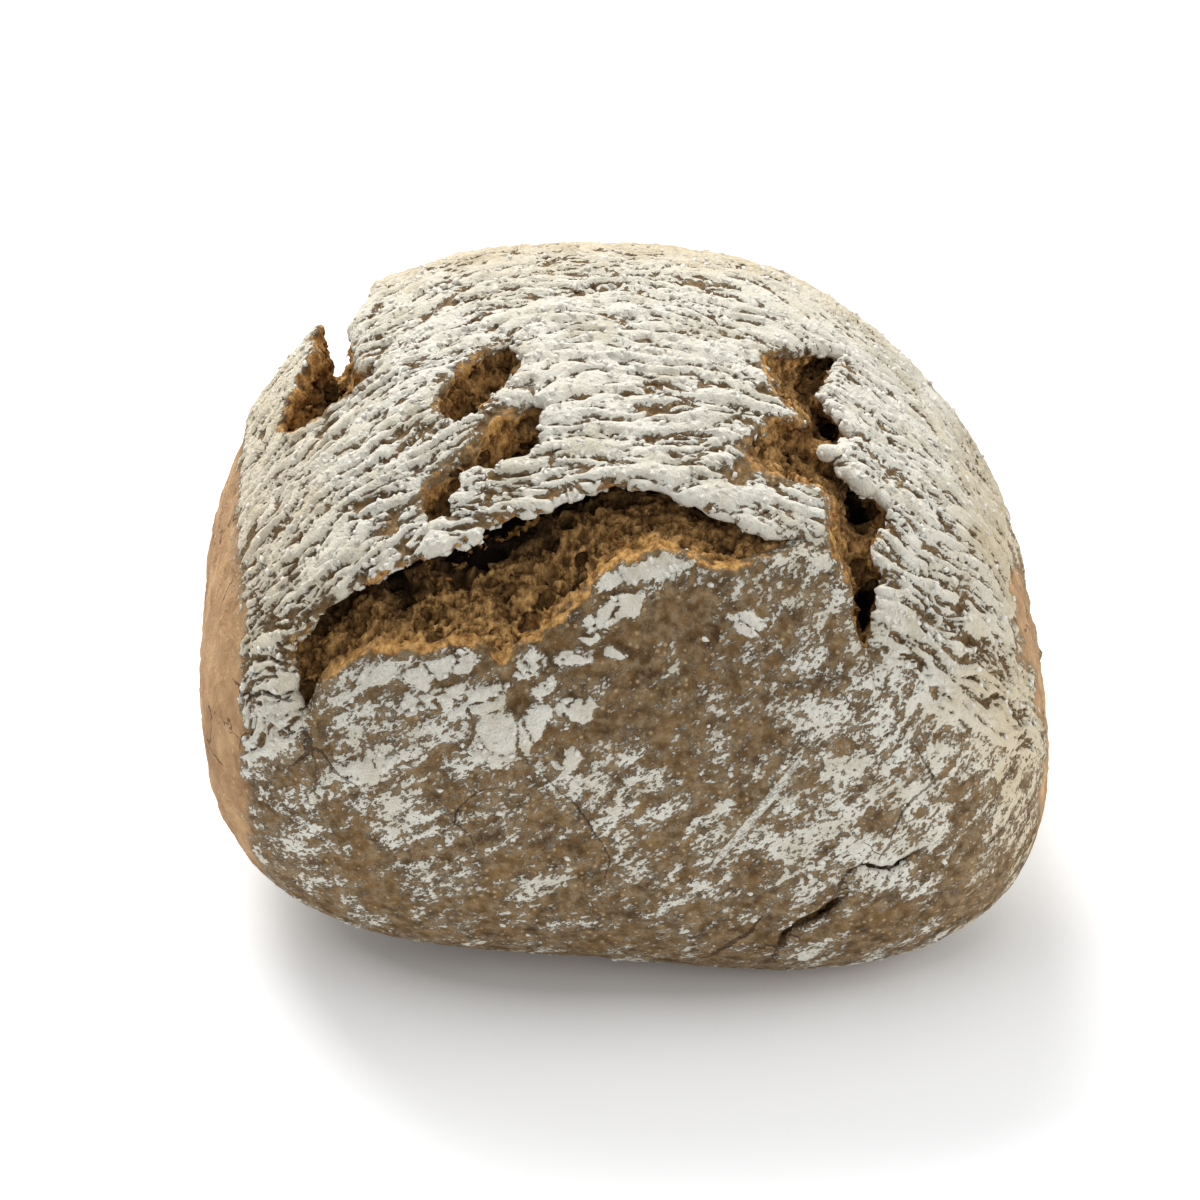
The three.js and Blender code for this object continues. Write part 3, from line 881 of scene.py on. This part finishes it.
def relief_tree():
    """Geometry Nodes that raise flour, roughen crumb and keep how much flour lies at each point."""
    tree = bpy.data.node_groups.new("flour_relief", "GeometryNodeTree")
    tree.interface.new_socket("Geometry", in_out="INPUT", socket_type="NodeSocketGeometry")
    sizes = {
        "Ridge length": 13.0, "Ridge spacing": 1.6, "Cake thickness": 0.95, "Slab thickness": 0.4,
        "Dusting thickness": 0.22,
        "Streak slant": math.radians(35), "Streak length": 6.0, "Streak spacing": 1.2,
        "Ridge arch": 0.007, "Crumb fibre": 0.9, "Pore size": 2.8, "Pore depth": 1.3,
        "Blister height": 1.2, "Unevenness": 0.5, "Seed": 3.0,
    }
    for name, value in sizes.items():
        socket = tree.interface.new_socket(name, in_out="INPUT", socket_type="NodeSocketFloat")
        socket.default_value = value
    tree.interface.new_socket("Finish", in_out="INPUT", socket_type="NodeSocketMaterial")
    tree.interface.new_socket("Geometry", in_out="OUTPUT", socket_type="NodeSocketGeometry")
    given = add(tree, "NodeGroupInput").outputs
    seed = given["Seed"]

    def mask(name):
        return add(tree, "GeometryNodeInputNamedAttribute", {"Name": name}, data_type="FLOAT").outputs[0]

    position = in_millimetres(tree, add(tree, "GeometryNodeInputPosition").outputs[0])
    drifted = vector_math(tree, "ADD", position, wander(tree, position, 11, 2, 0.5, seed, 9))
    x, y, z = add(tree, "ShaderNodeSeparateXYZ", {0: drifted}).outputs
    patch = noise(tree, position, 4.5, 3, 0.6, seed=plus(tree, seed, 5.0))

    level = minus(tree, z, RIDGE_AXIS_HEIGHT)
    angle = calculate(tree, "ARCTAN2", level, times(tree, y, -1.0))
    squares = plus(tree, calculate(tree, "POWER", y, 2.0), calculate(tree, "POWER", level, 2.0))
    arch = times(tree, calculate(tree, "POWER", x, 2.0), given["Ridge arch"])
    around = plus(tree, times(tree, angle, RIDGE_AXIS_RADIUS), arch)
    around = calculate(tree, "DIVIDE", around, given["Ridge spacing"])
    along = calculate(tree, "DIVIDE", x, given["Ridge length"])
    outward = calculate(tree, "DIVIDE", calculate(tree, "SQRT", squares), given["Ridge length"])
    ridge_place = add(tree, "ShaderNodeCombineXYZ", {0: along, 1: around, 2: outward}).outputs[0]
    groove = calculate(tree, "ABSOLUTE", swing(tree, ridge_place, 1, 3, 0.6, seed))
    crumb_place = vector_math(tree, "MULTIPLY", ridge_place, (4.0, 1.5, 4.0))
    crumbs = noise(tree, crumb_place, 1, 3, 0.66, seed=plus(tree, seed, 2.0))
    missing = calculate(tree, "MAXIMUM", times(tree, minus(tree, patch, 0.55), 0.34), 0.0)
    cake = ramp(tree, minus(tree, groove, missing), 0.004, 0.034)
    cake = times(tree, cake, ramp(tree, crumbs, 0.25, 0.33))
    body = calculate(tree, "POWER", calculate(tree, "MULTIPLY", groove, 6.5, clamp=True), 0.7)
    cake_height = times(tree, cake, between(tree, body, 0.3, 1.0))
    cake_height = times(tree, cake_height, between(tree, crumbs, 0.6, 1.4))
    cake_height = times(tree, cake_height, given["Cake thickness"])

    stretch = {0: given["Streak length"], 1: given["Streak length"], 2: given["Streak spacing"]}
    stretch = add(tree, "ShaderNodeCombineXYZ", stretch).outputs[0]
    streaked = turned(tree, drifted, (0, 1, 0), given["Streak slant"], stretch)
    streaks = noise(tree, streaked, 1, 4, 0.68, seed=seed)
    dusted = plus(tree, streaks, times(tree, minus(tree, patch, 0.5), 0.6))
    edge = minus(tree, 0.74, times(tree, mask("cover"), 0.44))
    dust = ramp(tree, minus(tree, dusted, edge), -0.17, 0.2)
    dust_height = times(tree, dust, given["Dusting thickness"])

    jittered = vector_math(tree, "ADD", drifted, wander(tree, position, 1.4, 3, 0.6, seed, 2.6))
    slab = times(tree, mask("slab"), ramp(tree, edge_distance(tree, jittered, 0.21), 0.01, 0.04))
    slab_height = times(tree, times(tree, slab, between(tree, crumbs, 0.75, 1.2)), given["Slab thickness"])

    crumb, caked, bare = mask("crumb"), mask("caked"), mask("bare")
    dry = times(tree, minus(tree, 1.0, bare), minus(tree, 1.0, crumb))
    dry = times(tree, dry, minus(tree, 1.0, mask("lip")))
    flour = calculate(tree, "MAXIMUM", between(tree, caked, dust, cake), slab)
    flour = times(tree, flour, dry)
    flour_height = calculate(tree, "MAXIMUM", between(tree, caked, dust_height, cake_height), slab_height)
    flour_height = times(tree, flour_height, dry)
    thick = calculate(tree, "DIVIDE", flour_height, given["Cake thickness"])
    loose = times(tree, thick, minus(tree, 1.0, mask("baked")))
    grit = times(tree, swing(tree, position, 0.8, 2, 0.6, seed), times(tree, flour, 0.5))
    uneven = times(tree, swing(tree, position, 7, 3, seed=seed), given["Unevenness"])
    blisters = times(tree, swing(tree, jittered, 2.8, 4, 0.6, seed), bare)
    uneven = plus(tree, uneven, times(tree, blisters, given["Blister height"]))

    fibres = turned(tree, drifted, (1, 0, 0), VIEW_TILT, (0.8, 1.0, 1.2))
    fibre = times(tree, swing(tree, fibres, 1, 3, 0.65, seed), given["Crumb fibre"])
    pore = None
    for share, chance in ((1.0, 0.46), (0.42, 0.5)):
        scale = calculate(tree, "DIVIDE", 1 / share, given["Pore size"])
        kind = add(tree, "ShaderNodeTexVoronoi", {"Vector": jittered, "Scale": scale}).outputs["Color"]
        hollow = ramp(tree, edge_distance(tree, jittered, scale), 0.05, 0.28)
        hollow = times(tree, hollow, ramp(tree, kind, chance - 0.06, chance))
        pore = hollow if pore is None else calculate(tree, "MAXIMUM", pore, times(tree, hollow, 0.6))
    torn = minus(tree, fibre, times(tree, pore, given["Pore depth"]))
    torn = times(tree, torn, crumb)
    raised = plus(tree, plus(tree, flour_height, grit), plus(tree, uneven, torn))
    standing = ramp(tree, add(tree, "ShaderNodeSeparateXYZ", {0: position}).outputs[2], 0.3, 3.0)
    raised = times(tree, raised, times(tree, standing, MM))

    offset = scaled(tree, add(tree, "GeometryNodeInputNormal").outputs[0], raised)
    kept = given["Geometry"]
    for name, value in {"flour": flour, "thick": thick, "pore": pore, "loose": loose}.items():
        inputs = {"Geometry": kept, "Name": name, "Value": value}
        kept = add(tree, "GeometryNodeStoreNamedAttribute", inputs, data_type="FLOAT", domain="POINT")
        kept = kept.outputs[0]
    moved = add(tree, "GeometryNodeSetPosition", {"Geometry": kept, "Offset": offset}).outputs[0]
    end_tree(tree, moved, given["Finish"])
    return tree


def set_inputs(modifier, values):
    """Sets the named inputs of a Geometry Nodes modifier."""
    for item in modifier.node_group.interface.items_tree:
        if item.item_type == "SOCKET" and item.in_out == "INPUT" and item.name in values:
            modifier[item.identifier] = values[item.name]


def bake_modifiers(piece):
    """Replaces a piece's mesh by the result of its modifiers, and removes them."""
    bpy.context.view_layer.update()
    evaluated = piece.evaluated_get(bpy.context.evaluated_depsgraph_get())
    baked = bpy.data.meshes.new_from_object(evaluated)
    piece.modifiers.clear()
    piece.data = baked
    baked.name = piece.name


crust_finish = bpy.data.materials.new("baked_crust")
flour_relief = relief_tree()
relief = crust.modifiers.new("flour_relief", "NODES")
relief.node_group = flour_relief
set_inputs(relief, {"Finish": crust_finish})
bake_modifiers(crust)
print("the relief tree has", len(flour_relief.nodes), "nodes")
print("the crust has", len(crust.data.polygons), "faces")

# %% [markdown]
# ## Fewer faces where little happens
# The base and the bare sides need far fewer faces than the ridges. Decimate joins faces where the surface
# is nearly flat and keeps them where it is rough, and it carries the masks along.

# %% Decimate
FACE_LIMIT = 196_000


def shade_smooth(piece):
    """Lets light run smoothly over a piece's faces."""
    piece.data.polygons.foreach_set("use_smooth", np.ones(len(piece.data.polygons), bool))


def decimate(piece, limit):
    """Brings a piece under a number of triangles."""
    piece.data.calc_loop_triangles()
    triangles = len(piece.data.loop_triangles)
    if triangles > limit:
        thin = piece.modifiers.new("thin", "DECIMATE")
        thin.ratio = limit / triangles
        bake_modifiers(piece)
    shade_smooth(piece)
    return triangles


before = decimate(crust, FACE_LIMIT)
print("from", before, "to", len(crust.data.polygons), "triangles")

# %% [markdown]
# ## Loose crumbs
# Flour that was rolled on doesn't lie smoothly: it dries into crumbs that sit on the ridges. And where
# the crust tore, small shards stand up along the lips. One Geometry Nodes tree makes both. It scatters
# points where a mask allows, and puts one of three lumps on each, turned and sized at random.

# %% The scatter tree
def scatter_tree():
    """Geometry Nodes that scatter small lumps over a surface."""
    tree = bpy.data.node_groups.new("crumb_scatter", "GeometryNodeTree")
    tree.interface.new_socket("Geometry", in_out="INPUT", socket_type="NodeSocketGeometry")
    kinds = {
        "Mask": "String", "Amount": "Float", "Smallest": "Float", "Largest": "Float",
        "Stretch": "Vector", "Tilt": "Float", "Seed": "Int", "Finish": "Material",
    }
    for name, kind in kinds.items():
        tree.interface.new_socket(name, in_out="INPUT", socket_type="NodeSocket" + kind)
    tree.interface.new_socket("Geometry", in_out="OUTPUT", socket_type="NodeSocketGeometry")
    given = add(tree, "NodeGroupInput").outputs

    inputs = {"Name": given["Mask"]}
    allowed = add(tree, "GeometryNodeInputNamedAttribute", inputs, data_type="FLOAT").outputs[0]
    density = times(tree, times(tree, calculate(tree, "POWER", allowed, 1.5), given["Amount"]), 1e6)
    inputs = {"Mesh": given["Geometry"], "Density": density, "Seed": given["Seed"]}
    spread = add(tree, "GeometryNodeDistributePointsOnFaces", inputs, distribute_method="RANDOM").outputs

    lumps = add(tree, "GeometryNodeGeometryToInstance")
    for variant in range(3):
        ball = add(tree, "GeometryNodeMeshIcoSphere", {"Radius": 1.0, "Subdivisions": 1}).outputs[0]
        place = add(tree, "GeometryNodeInputPosition").outputs[0]
        uneven = wander(tree, place, 0.9, 1, 0.5, 7.0 * variant, 2.2)
        lump = add(tree, "GeometryNodeSetPosition", {"Geometry": ball, "Offset": uneven}).outputs[0]
        tree.links.new(lump, lumps.inputs[0])

    inputs = {2: given["Smallest"], 3: given["Largest"], "Seed": given["Seed"]}
    size = add(tree, "FunctionNodeRandomValue", inputs, data_type="FLOAT").outputs[1]
    inputs = {
        "Points": spread["Points"], "Instance": lumps.outputs[0], "Pick Instance": True,
        "Rotation": spread["Rotation"], "Scale": scaled(tree, given["Stretch"], times(tree, size, MM)),
    }
    placed = add(tree, "GeometryNodeInstanceOnPoints", inputs).outputs[0]
    most = add(tree, "ShaderNodeCombineXYZ", {0: given["Tilt"], 1: given["Tilt"], 2: math.pi}).outputs[0]
    inputs = {0: scaled(tree, most, -1), 1: most, "Seed": given["Seed"]}
    turn = add(tree, "FunctionNodeRandomValue", inputs, data_type="FLOAT_VECTOR").outputs[0]
    inputs = {"Instances": placed, "Rotation": turn}
    end_tree(tree, add(tree, "GeometryNodeRotateInstances", inputs).outputs[0], given["Finish"])
    return tree


CRUMB_SCATTER = scatter_tree()
MATT_ROUGHNESS, MATT_SHINE = 0.92, 0.2


def make_matt(surface):
    """Sets a surface shader to the dull finish of bread."""
    surface.inputs["Roughness"].default_value = MATT_ROUGHNESS
    surface.inputs["Specular IOR Level"].default_value = MATT_SHINE


def plain_finish(name, colour):
    """A matt material of one colour."""
    finish = bpy.data.materials.new(name)
    finish.use_nodes = True
    surface = finish.node_tree.nodes["Principled BSDF"]
    surface.inputs["Base Color"].default_value = (*colour, 1)
    make_matt(surface)
    return finish


def scatter(name, values):
    """A piece of lumps scattered over the crust, with the scatter tree's inputs set."""
    piece = bpy.data.objects.new(name, crust.data.copy())
    bpy.context.scene.collection.objects.link(piece)
    modifier = piece.modifiers.new(name, "NODES")
    modifier.node_group = CRUMB_SCATTER
    set_inputs(modifier, values)
    bake_modifiers(piece)
    shade_smooth(piece)
    return piece


print("the scatter tree has", len(CRUMB_SCATTER.nodes), "nodes")

# %% Flour crumbs and crust shards
flour_crumbs = scatter("flour_crumbs", {
    "Mask": "loose", "Amount": 1.0, "Smallest": 0.12, "Largest": 0.4,
    "Stretch": (1.3, 0.9, 0.6), "Tilt": 0.5, "Seed": 5,
    "Finish": plain_finish("flour_crumbs", (0.68, 0.66, 0.60)),
})
crust_shards = scatter("crust_shards", {
    "Mask": "fringe", "Amount": 1.8, "Smallest": 0.15, "Largest": 0.5,
    "Stretch": (1.0, 0.3, 1.3), "Tilt": 0.8, "Seed": 9,
    "Finish": plain_finish("crust_shards", (0.40, 0.20, 0.06)),
})
for piece in (flour_crumbs, crust_shards):
    print(piece.name, "has", len(piece.data.polygons), "faces")

# %% [markdown]
# ## A flat map for the colours
# A model that leaves Blender carries its colours as a picture wrapped around it, so every part of the
# surface needs its own place in that picture. Unwrapping a rough surface by its angles would shatter it.
# Here each point's direction from the middle of the roll is laid on an octahedron, which unfolds into one
# square without gaps.

# %% The map
MAP_EDGE = 0.02


def add_octahedral_map(mesh, middle):
    """A UV map that unfolds directions from a middle, in metres, into one square."""
    points = np.empty(len(mesh.vertices) * 3, np.float32)
    mesh.vertices.foreach_get("co", points)
    corner = np.empty(len(mesh.loops), np.int32)
    mesh.loops.foreach_get("vertex_index", corner)
    starts = np.empty(len(mesh.polygons), np.int32)
    mesh.polygons.foreach_get("loop_start", starts)
    totals = np.empty(len(mesh.polygons), np.int32)
    mesh.polygons.foreach_get("loop_total", totals)

    way = points.reshape(-1, 3) - np.array(middle)
    way /= np.abs(way).sum(1)[:, None]
    way = way[corner]
    centre = np.add.reduceat(way, starts) / totals[:, None]
    side = np.repeat(np.where(centre < 0, -1, 1), totals, axis=0)
    x, y = way[:, 0], way[:, 1]
    lower = side[:, 2] < 0
    u = np.where(lower, (1 - y * side[:, 1]) * side[:, 0], x)
    v = np.where(lower, (1 - x * side[:, 0]) * side[:, 1], y)
    flat = np.stack([u, v], 1) * (0.5 - MAP_EDGE) + 0.5
    layer = mesh.uv_layers.new(name="OFBake")
    layer.data.foreach_set("uv", flat.astype(np.float32).ravel())
    mesh.uv_layers.active = layer


ROLL_MIDDLE = Vector((*CENTRING[:2], WIDEST_LEVEL)) * MM
add_octahedral_map(crust.data, ROLL_MIDDLE)
print("mapped", len(crust.data.loops), "corners")

# %% [markdown]
# ## Colours
# The finish is one material, because the real surface is one skin whose colour changes from place to
# place. The stored masks say roughly what lies where, and fine noise in the material breaks their edges
# up into grains. Two effects are node groups: mottling, which blends two colours unevenly and is used for
# every surface, and specks, which picks out small grains.

# %% Shader groups
def shader_group(name, inputs, outputs):
    """An empty shader node group with named sockets."""
    tree = bpy.data.node_groups.new(name, "ShaderNodeTree")
    for label, value in inputs.items():
        kind = "NodeSocketColor" if isinstance(value, tuple) else "NodeSocketFloat"
        kind = "NodeSocketVector" if value is None else kind
        socket = tree.interface.new_socket(label, in_out="INPUT", socket_type=kind)
        if value is not None:
            socket.default_value = value
    for label, kind in outputs.items():
        tree.interface.new_socket(label, in_out="OUTPUT", socket_type=kind)
    return tree, add(tree, "NodeGroupInput").outputs


def blend_colour(tree, share, below_colour, above_colour):
    """One colour laid over another by a mask."""
    inputs = {0: share, 6: below_colour, 7: above_colour}
    return add(tree, "ShaderNodeMix", inputs, data_type="RGBA").outputs[2]


def mottle_group():
    """Blends two colours by noise: Place in millimetres, Size of the patches, and Contrast."""
    inputs = {
        "Place": None, "Size": 3.0, "Contrast": 3.0, "Balance": 0.5,
        "Dark": (0.1, 0.05, 0.02, 1), "Light": (0.3, 0.17, 0.08, 1),
    }
    tree, given = shader_group("mottle", inputs, {"Color": "NodeSocketColor"})
    place = scaled(tree, given["Place"], calculate(tree, "DIVIDE", 1.0, given["Size"]))
    centred = minus(tree, noise(tree, place, 1, 4, 0.62, seed=2), given["Balance"])
    share = calculate(tree, "ADD", times(tree, centred, given["Contrast"]), 0.5, clamp=True)
    add(tree, "NodeGroupOutput", {"Color": blend_colour(tree, share, given["Dark"], given["Light"])})
    return tree


def speck_group():
    """A mask of small grains: Place in millimetres, Size of a grain's cell, and Amount of them."""
    inputs = {"Place": None, "Size": 0.6, "Amount": 0.3}
    tree, given = shader_group("specks", inputs, {"Fac": "NodeSocketFloat"})
    place = scaled(tree, given["Place"], calculate(tree, "DIVIDE", 1.0, given["Size"]))
    cells = add(tree, "ShaderNodeTexVoronoi", {"Vector": place, "Scale": 1.0}, voronoi_dimensions="3D")
    chosen = add(tree, "ShaderNodeSeparateColor", {0: cells.outputs["Color"]}).outputs[0]
    near = ramp(tree, cells.outputs["Distance"], 0.2, 0.38, 1.0, 0.0)
    picked = calculate(tree, "LESS_THAN", chosen, given["Amount"])
    add(tree, "NodeGroupOutput", {"Fac": calculate(tree, "MULTIPLY", near, picked)})
    return tree


MOTTLE = mottle_group()
SPECKS = speck_group()


def place_group(tree, group, inputs):
    """The result of a group node with its inputs set."""
    return add(tree, "ShaderNodeGroup", inputs, node_tree=group).outputs[0]


print("groups:", MOTTLE.name, SPECKS.name)

# %% The crust's material
CRUST_DARK, CRUST_LIGHT = (0.060, 0.029, 0.009), (0.24, 0.137, 0.05)
BARE_DARK, BARE_LIGHT = (0.35, 0.19, 0.09), (0.62, 0.395, 0.205)
CRUMB_DARK, CRUMB_LIGHT = (0.15, 0.071, 0.021), (0.92, 0.54, 0.20)
TOASTED_DARK, TOASTED_LIGHT = (0.24, 0.10, 0.022), (0.84, 0.48, 0.16)
FLOUR_SHADE, FLOUR_LIGHT, FLOUR_CREAM = (0.58, 0.53, 0.41), (0.74, 0.715, 0.635), (0.60, 0.48, 0.29)
# painted shade: the crumb darkens towards this near black where a tear is deep
HOLE_SHADE = (0.008, 0.004, 0.002, 1)
# painted shade in the crumb's pores
PORE_SHADE = (0.045, 0.018, 0.005, 1)
BROWNED = (0.20, 0.10, 0.04, 1)
# the crust a crack opens onto, darkened further by painted shade
CRACK_SHADE = (0.03, 0.014, 0.006, 1)
DUST = (0.46, 0.38, 0.255, 1)
GOLD = (0.70, 0.50, 0.28, 1)


def mottled_colour(tree, place, size, dark, light, contrast=3.0, balance=0.5):
    """The colour that the mottle group gives."""
    inputs = {
        "Place": place, "Size": size, "Contrast": contrast, "Balance": balance,
        "Dark": (*dark, 1), "Light": (*light, 1),
    }
    return place_group(tree, MOTTLE, inputs)


def paint_crust(material):
    """Crust, crumb and flour in one material."""
    material.use_nodes = True
    tree = material.node_tree
    surface = tree.nodes["Principled BSDF"]
    place = in_millimetres(tree, add(tree, "ShaderNodeTexCoord").outputs["Object"])

    def mask(name):
        return add(tree, "ShaderNodeAttribute", None, attribute_name=name).outputs["Fac"]

    flour, crumb, bare, thick = mask("flour"), mask("crumb"), mask("bare"), mask("thick")
    grain = noise(tree, place, 0.45, 3, 0.7, seed=1)
    grain_swing = minus(tree, grain, 0.5)

    brown = mottled_colour(tree, place, 2.2, CRUST_DARK, CRUST_LIGHT, 3.2)
    tan = mottled_colour(tree, place, 3.5, BARE_DARK, BARE_LIGHT, 3.0)
    darker = ramp(tree, noise(tree, place, 13, 4, 0.6, seed=14), 0.5, 0.64, 0.0, 0.6)
    tan = blend_colour(tree, darker, tan, (*BARE_DARK, 1))
    height = add(tree, "ShaderNodeSeparateXYZ", {0: place}).outputs[2]
    low_down = ramp(tree, plus(tree, height, times(tree, darker, 8.0)), 20, 3, 0.0, 0.7)
    tan = blend_colour(tree, low_down, tan, BROWNED)
    streaked = turned(tree, place, (0, 1, 0), math.radians(35), (1.8, 1.3, 1.0))
    wiped = ramp(tree, noise(tree, streaked, 1.5, 5, 0.72, seed=15), 0.54, 0.7, 0.0, 0.6)
    tan = blend_colour(tree, wiped, tan, DUST)
    crust_colour = blend_colour(tree, bare, brown, tan)
    golden = place_group(tree, SPECKS, {"Place": place, "Size": 0.75, "Amount": 0.22})
    crust_colour = blend_colour(tree, times(tree, golden, 0.5), crust_colour, GOLD)
    haze = ramp(tree, noise(tree, place, 1.1, 4, 0.75, seed=4), 0.42, 0.66)
    haze = times(tree, haze, minus(tree, 0.34, times(tree, bare, 0.2)))
    haze = plus(tree, haze, times(tree, flour, 0.3))
    crust_colour = blend_colour(tree, haze, crust_colour, DUST)

    fibres = turned(tree, place, (1, 0, 0), VIEW_TILT, (0.75, 1.0, 1.3))
    crumb_colour = mottled_colour(tree, fibres, 1.0, CRUMB_DARK, CRUMB_LIGHT, 4.0)
    # painted shade: random patches of the crumb are darkened, as shaded hollows would be
    hollow_shade = ramp(tree, noise(tree, place, 3.2, 3, 0.6, seed=11), 0.56, 0.42)
    crumb_colour = blend_colour(tree, times(tree, hollow_shade, 0.45), crumb_colour, (*CRUMB_DARK, 1))
    # painted shade: the crumb's pores are darkened
    crumb_colour = blend_colour(tree, times(tree, mask("pore"), 0.68), crumb_colour, PORE_SHADE)
    # painted shade: the crumb is darkened towards near black deep in the tears
    crumb_colour = blend_colour(tree, ramp(tree, mask("deep"), 4.6, 8.8), crumb_colour, HOLE_SHADE)
    ragged_crumb = ramp(tree, plus(tree, crumb, times(tree, grain_swing, 0.6)), 0.35, 0.65)
    colour = blend_colour(tree, ragged_crumb, crust_colour, crumb_colour)
    toast = mottled_colour(tree, fibres, 1.0, TOASTED_DARK, TOASTED_LIGHT, 4.0)
    toast_share = plus(tree, mask("toasted"), times(tree, swing(tree, place, 1.6, 3, 0.6, 12), 1.6))
    toast_share = ramp(tree, minus(tree, toast_share, times(tree, mask("pore"), 0.7)), 0.4, 0.8)
    colour = blend_colour(tree, times(tree, toast_share, 0.85), colour, toast)

    fine, broad = swing(tree, streaked, 0.34, 2, 0.6, 8), swing(tree, place, 0.95, 3, 0.65, 9)
    loose = plus(tree, times(tree, fine, 3.0), times(tree, broad, 1.6))
    grainy = plus(tree, flour, times(tree, loose, between(tree, ramp(tree, thick, 0.1, 0.5), 1.0, 0.3)))
    present = ramp(tree, flour, 0.02, 0.15)
    white = times(tree, ramp(tree, grainy, 0.42, 0.7), present)
    opacity = ramp(tree, thick, 0.02, 0.18, 0.5, 1.0)
    flour_colour = mottled_colour(tree, place, 5.0, FLOUR_SHADE, FLOUR_LIGHT, 4.0, 0.42)
    flour_colour = blend_colour(tree, mask("baked"), flour_colour, (*FLOUR_CREAM, 1))
    colour = blend_colour(tree, times(tree, white, opacity), colour, flour_colour)

    crack_line = calculate(tree, "ABSOLUTE", plus(tree, mask("crack_side"), times(tree, grain_swing, 0.7)))
    cracked = calculate(tree, "LESS_THAN", crack_line, mask("crack"))
    bent_place = vector_math(tree, "ADD", place, times(tree, swing(tree, place, 2.0, 3, 0.6, 16), 4.0))
    dried = edge_distance(tree, bent_place, 0.11)
    dried = calculate(tree, "LESS_THAN", dried, times(tree, bare, 0.013))
    dried = times(tree, dried, ramp(tree, noise(tree, place, 9, 2, seed=17), 0.5, 0.56))
    cracked = calculate(tree, "MAXIMUM", cracked, dried)
    # the cracks and the dried crazing on the bare crust: darker crust there, with painted shade on top
    colour = blend_colour(tree, times(tree, cracked, 0.7), colour, CRACK_SHADE)
    scrape_line = calculate(tree, "ABSOLUTE", mask("scrape_side"))
    scraped = calculate(tree, "LESS_THAN", scrape_line, mask("scrape"))
    colour = blend_colour(tree, times(tree, scraped, 0.85), colour, (*FLOUR_LIGHT, 1))
    tree.links.new(colour, surface.inputs["Base Color"])
    make_matt(surface)

    coarse = noise(tree, place, 1.0, 4, 0.7, seed=6)
    fibre_relief = times(tree, noise(tree, fibres, 1.0, 3, 0.7, seed=2), times(tree, crumb, 2.0))
    relief_height = plus(tree, plus(tree, grain, times(tree, coarse, 0.8)), times(tree, white, 1.0))
    relief_height = minus(tree, plus(tree, relief_height, fibre_relief), cracked)
    bump = add(tree, "ShaderNodeBump", {"Height": relief_height, "Distance": 0.45 * MM, "Strength": 0.95})
    tree.links.new(bump.outputs[0], surface.inputs["Normal"])


paint_crust(crust_finish)
print("the crust's material has", len(crust_finish.node_tree.nodes), "nodes")

# %% [markdown]
# ## The floor
# A pale, matt floor catches the soft shadow, and isn't part of the roll. It glows a little, as a lit table
# does, and the glow fades close to the front of the roll's foot, which is a superellipse too. That fade is
# a painted shadow, which makes the shadow deeper towards the foot.

# %% Floor
FLOOR_HALF = 1.5
FLOOR_GLOW = 0.35
FOOT_CENTRE, FOOT_HALF_WIDTH, FOOT_DEPTH, FOOT_SQUARENESS = 5.0, 43.0, 37.0, 3.0
SHADOW_FADE, SHADOW_FRONT, SHADOW_BACK = 8.0, -32.0, -10.0

corners = np.array([(-1, -1, 0), (1, -1, 0), (1, 1, 0), (-1, 1, 0)]) * FLOOR_HALF
floor = new_mesh("floor", corners, np.array([[0, 1, 2, 3]]))
floor_finish = bpy.data.materials.new("pale_floor")
floor_finish.use_nodes = True
tree = floor_finish.node_tree
surface = tree.nodes["Principled BSDF"]
surface.inputs["Base Color"].default_value = (0.87, 0.88, 0.895, 1)
surface.inputs["Roughness"].default_value = 0.9
surface.inputs["Emission Color"].default_value = (1, 1, 1, 1)
place = in_millimetres(tree, add(tree, "ShaderNodeTexCoord").outputs["Object"])
x, y, _ = add(tree, "ShaderNodeSeparateXYZ", {0: place}).outputs
across = times(tree, minus(tree, x, FOOT_CENTRE), 1 / FOOT_HALF_WIDTH)
across = calculate(tree, "POWER", calculate(tree, "ABSOLUTE", across), FOOT_SQUARENESS)
ahead = calculate(tree, "ABSOLUTE", times(tree, y, 1 / FOOT_DEPTH))
ahead = calculate(tree, "POWER", ahead, FOOT_SQUARENESS)
from_foot = calculate(tree, "POWER", plus(tree, across, ahead), 1 / FOOT_SQUARENESS)
from_foot = times(tree, minus(tree, from_foot, 1.0), FOOT_DEPTH)
# painted shadow: the glow is taken away near the front of the roll's foot
painted_shadow = calculate(tree, "EXPONENT", times(tree, calculate(tree, "MAXIMUM", from_foot, 0.0), -1 / SHADOW_FADE))
painted_shadow = times(tree, painted_shadow, ramp(tree, y, SHADOW_FRONT, SHADOW_BACK, 1.0, 0.0))
glow = times(tree, minus(tree, 1.0, painted_shadow), FLOOR_GLOW)
tree.links.new(glow, surface.inputs["Emission Strength"])
floor.data.materials.append(floor_finish)
print("the floor glows", FLOOR_GLOW, "away from the roll")

# %% [markdown]
# ## Tying the pieces to the frame
# Every piece rides on the roll's one body, and together they stand for its one CAD node.

# %% Ride and replace
for piece, slot in ((crust, "crust"), (flour_crumbs, "flour"), (crust_shards, "crust")):
    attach(piece, "root")
    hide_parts("bread_roll")
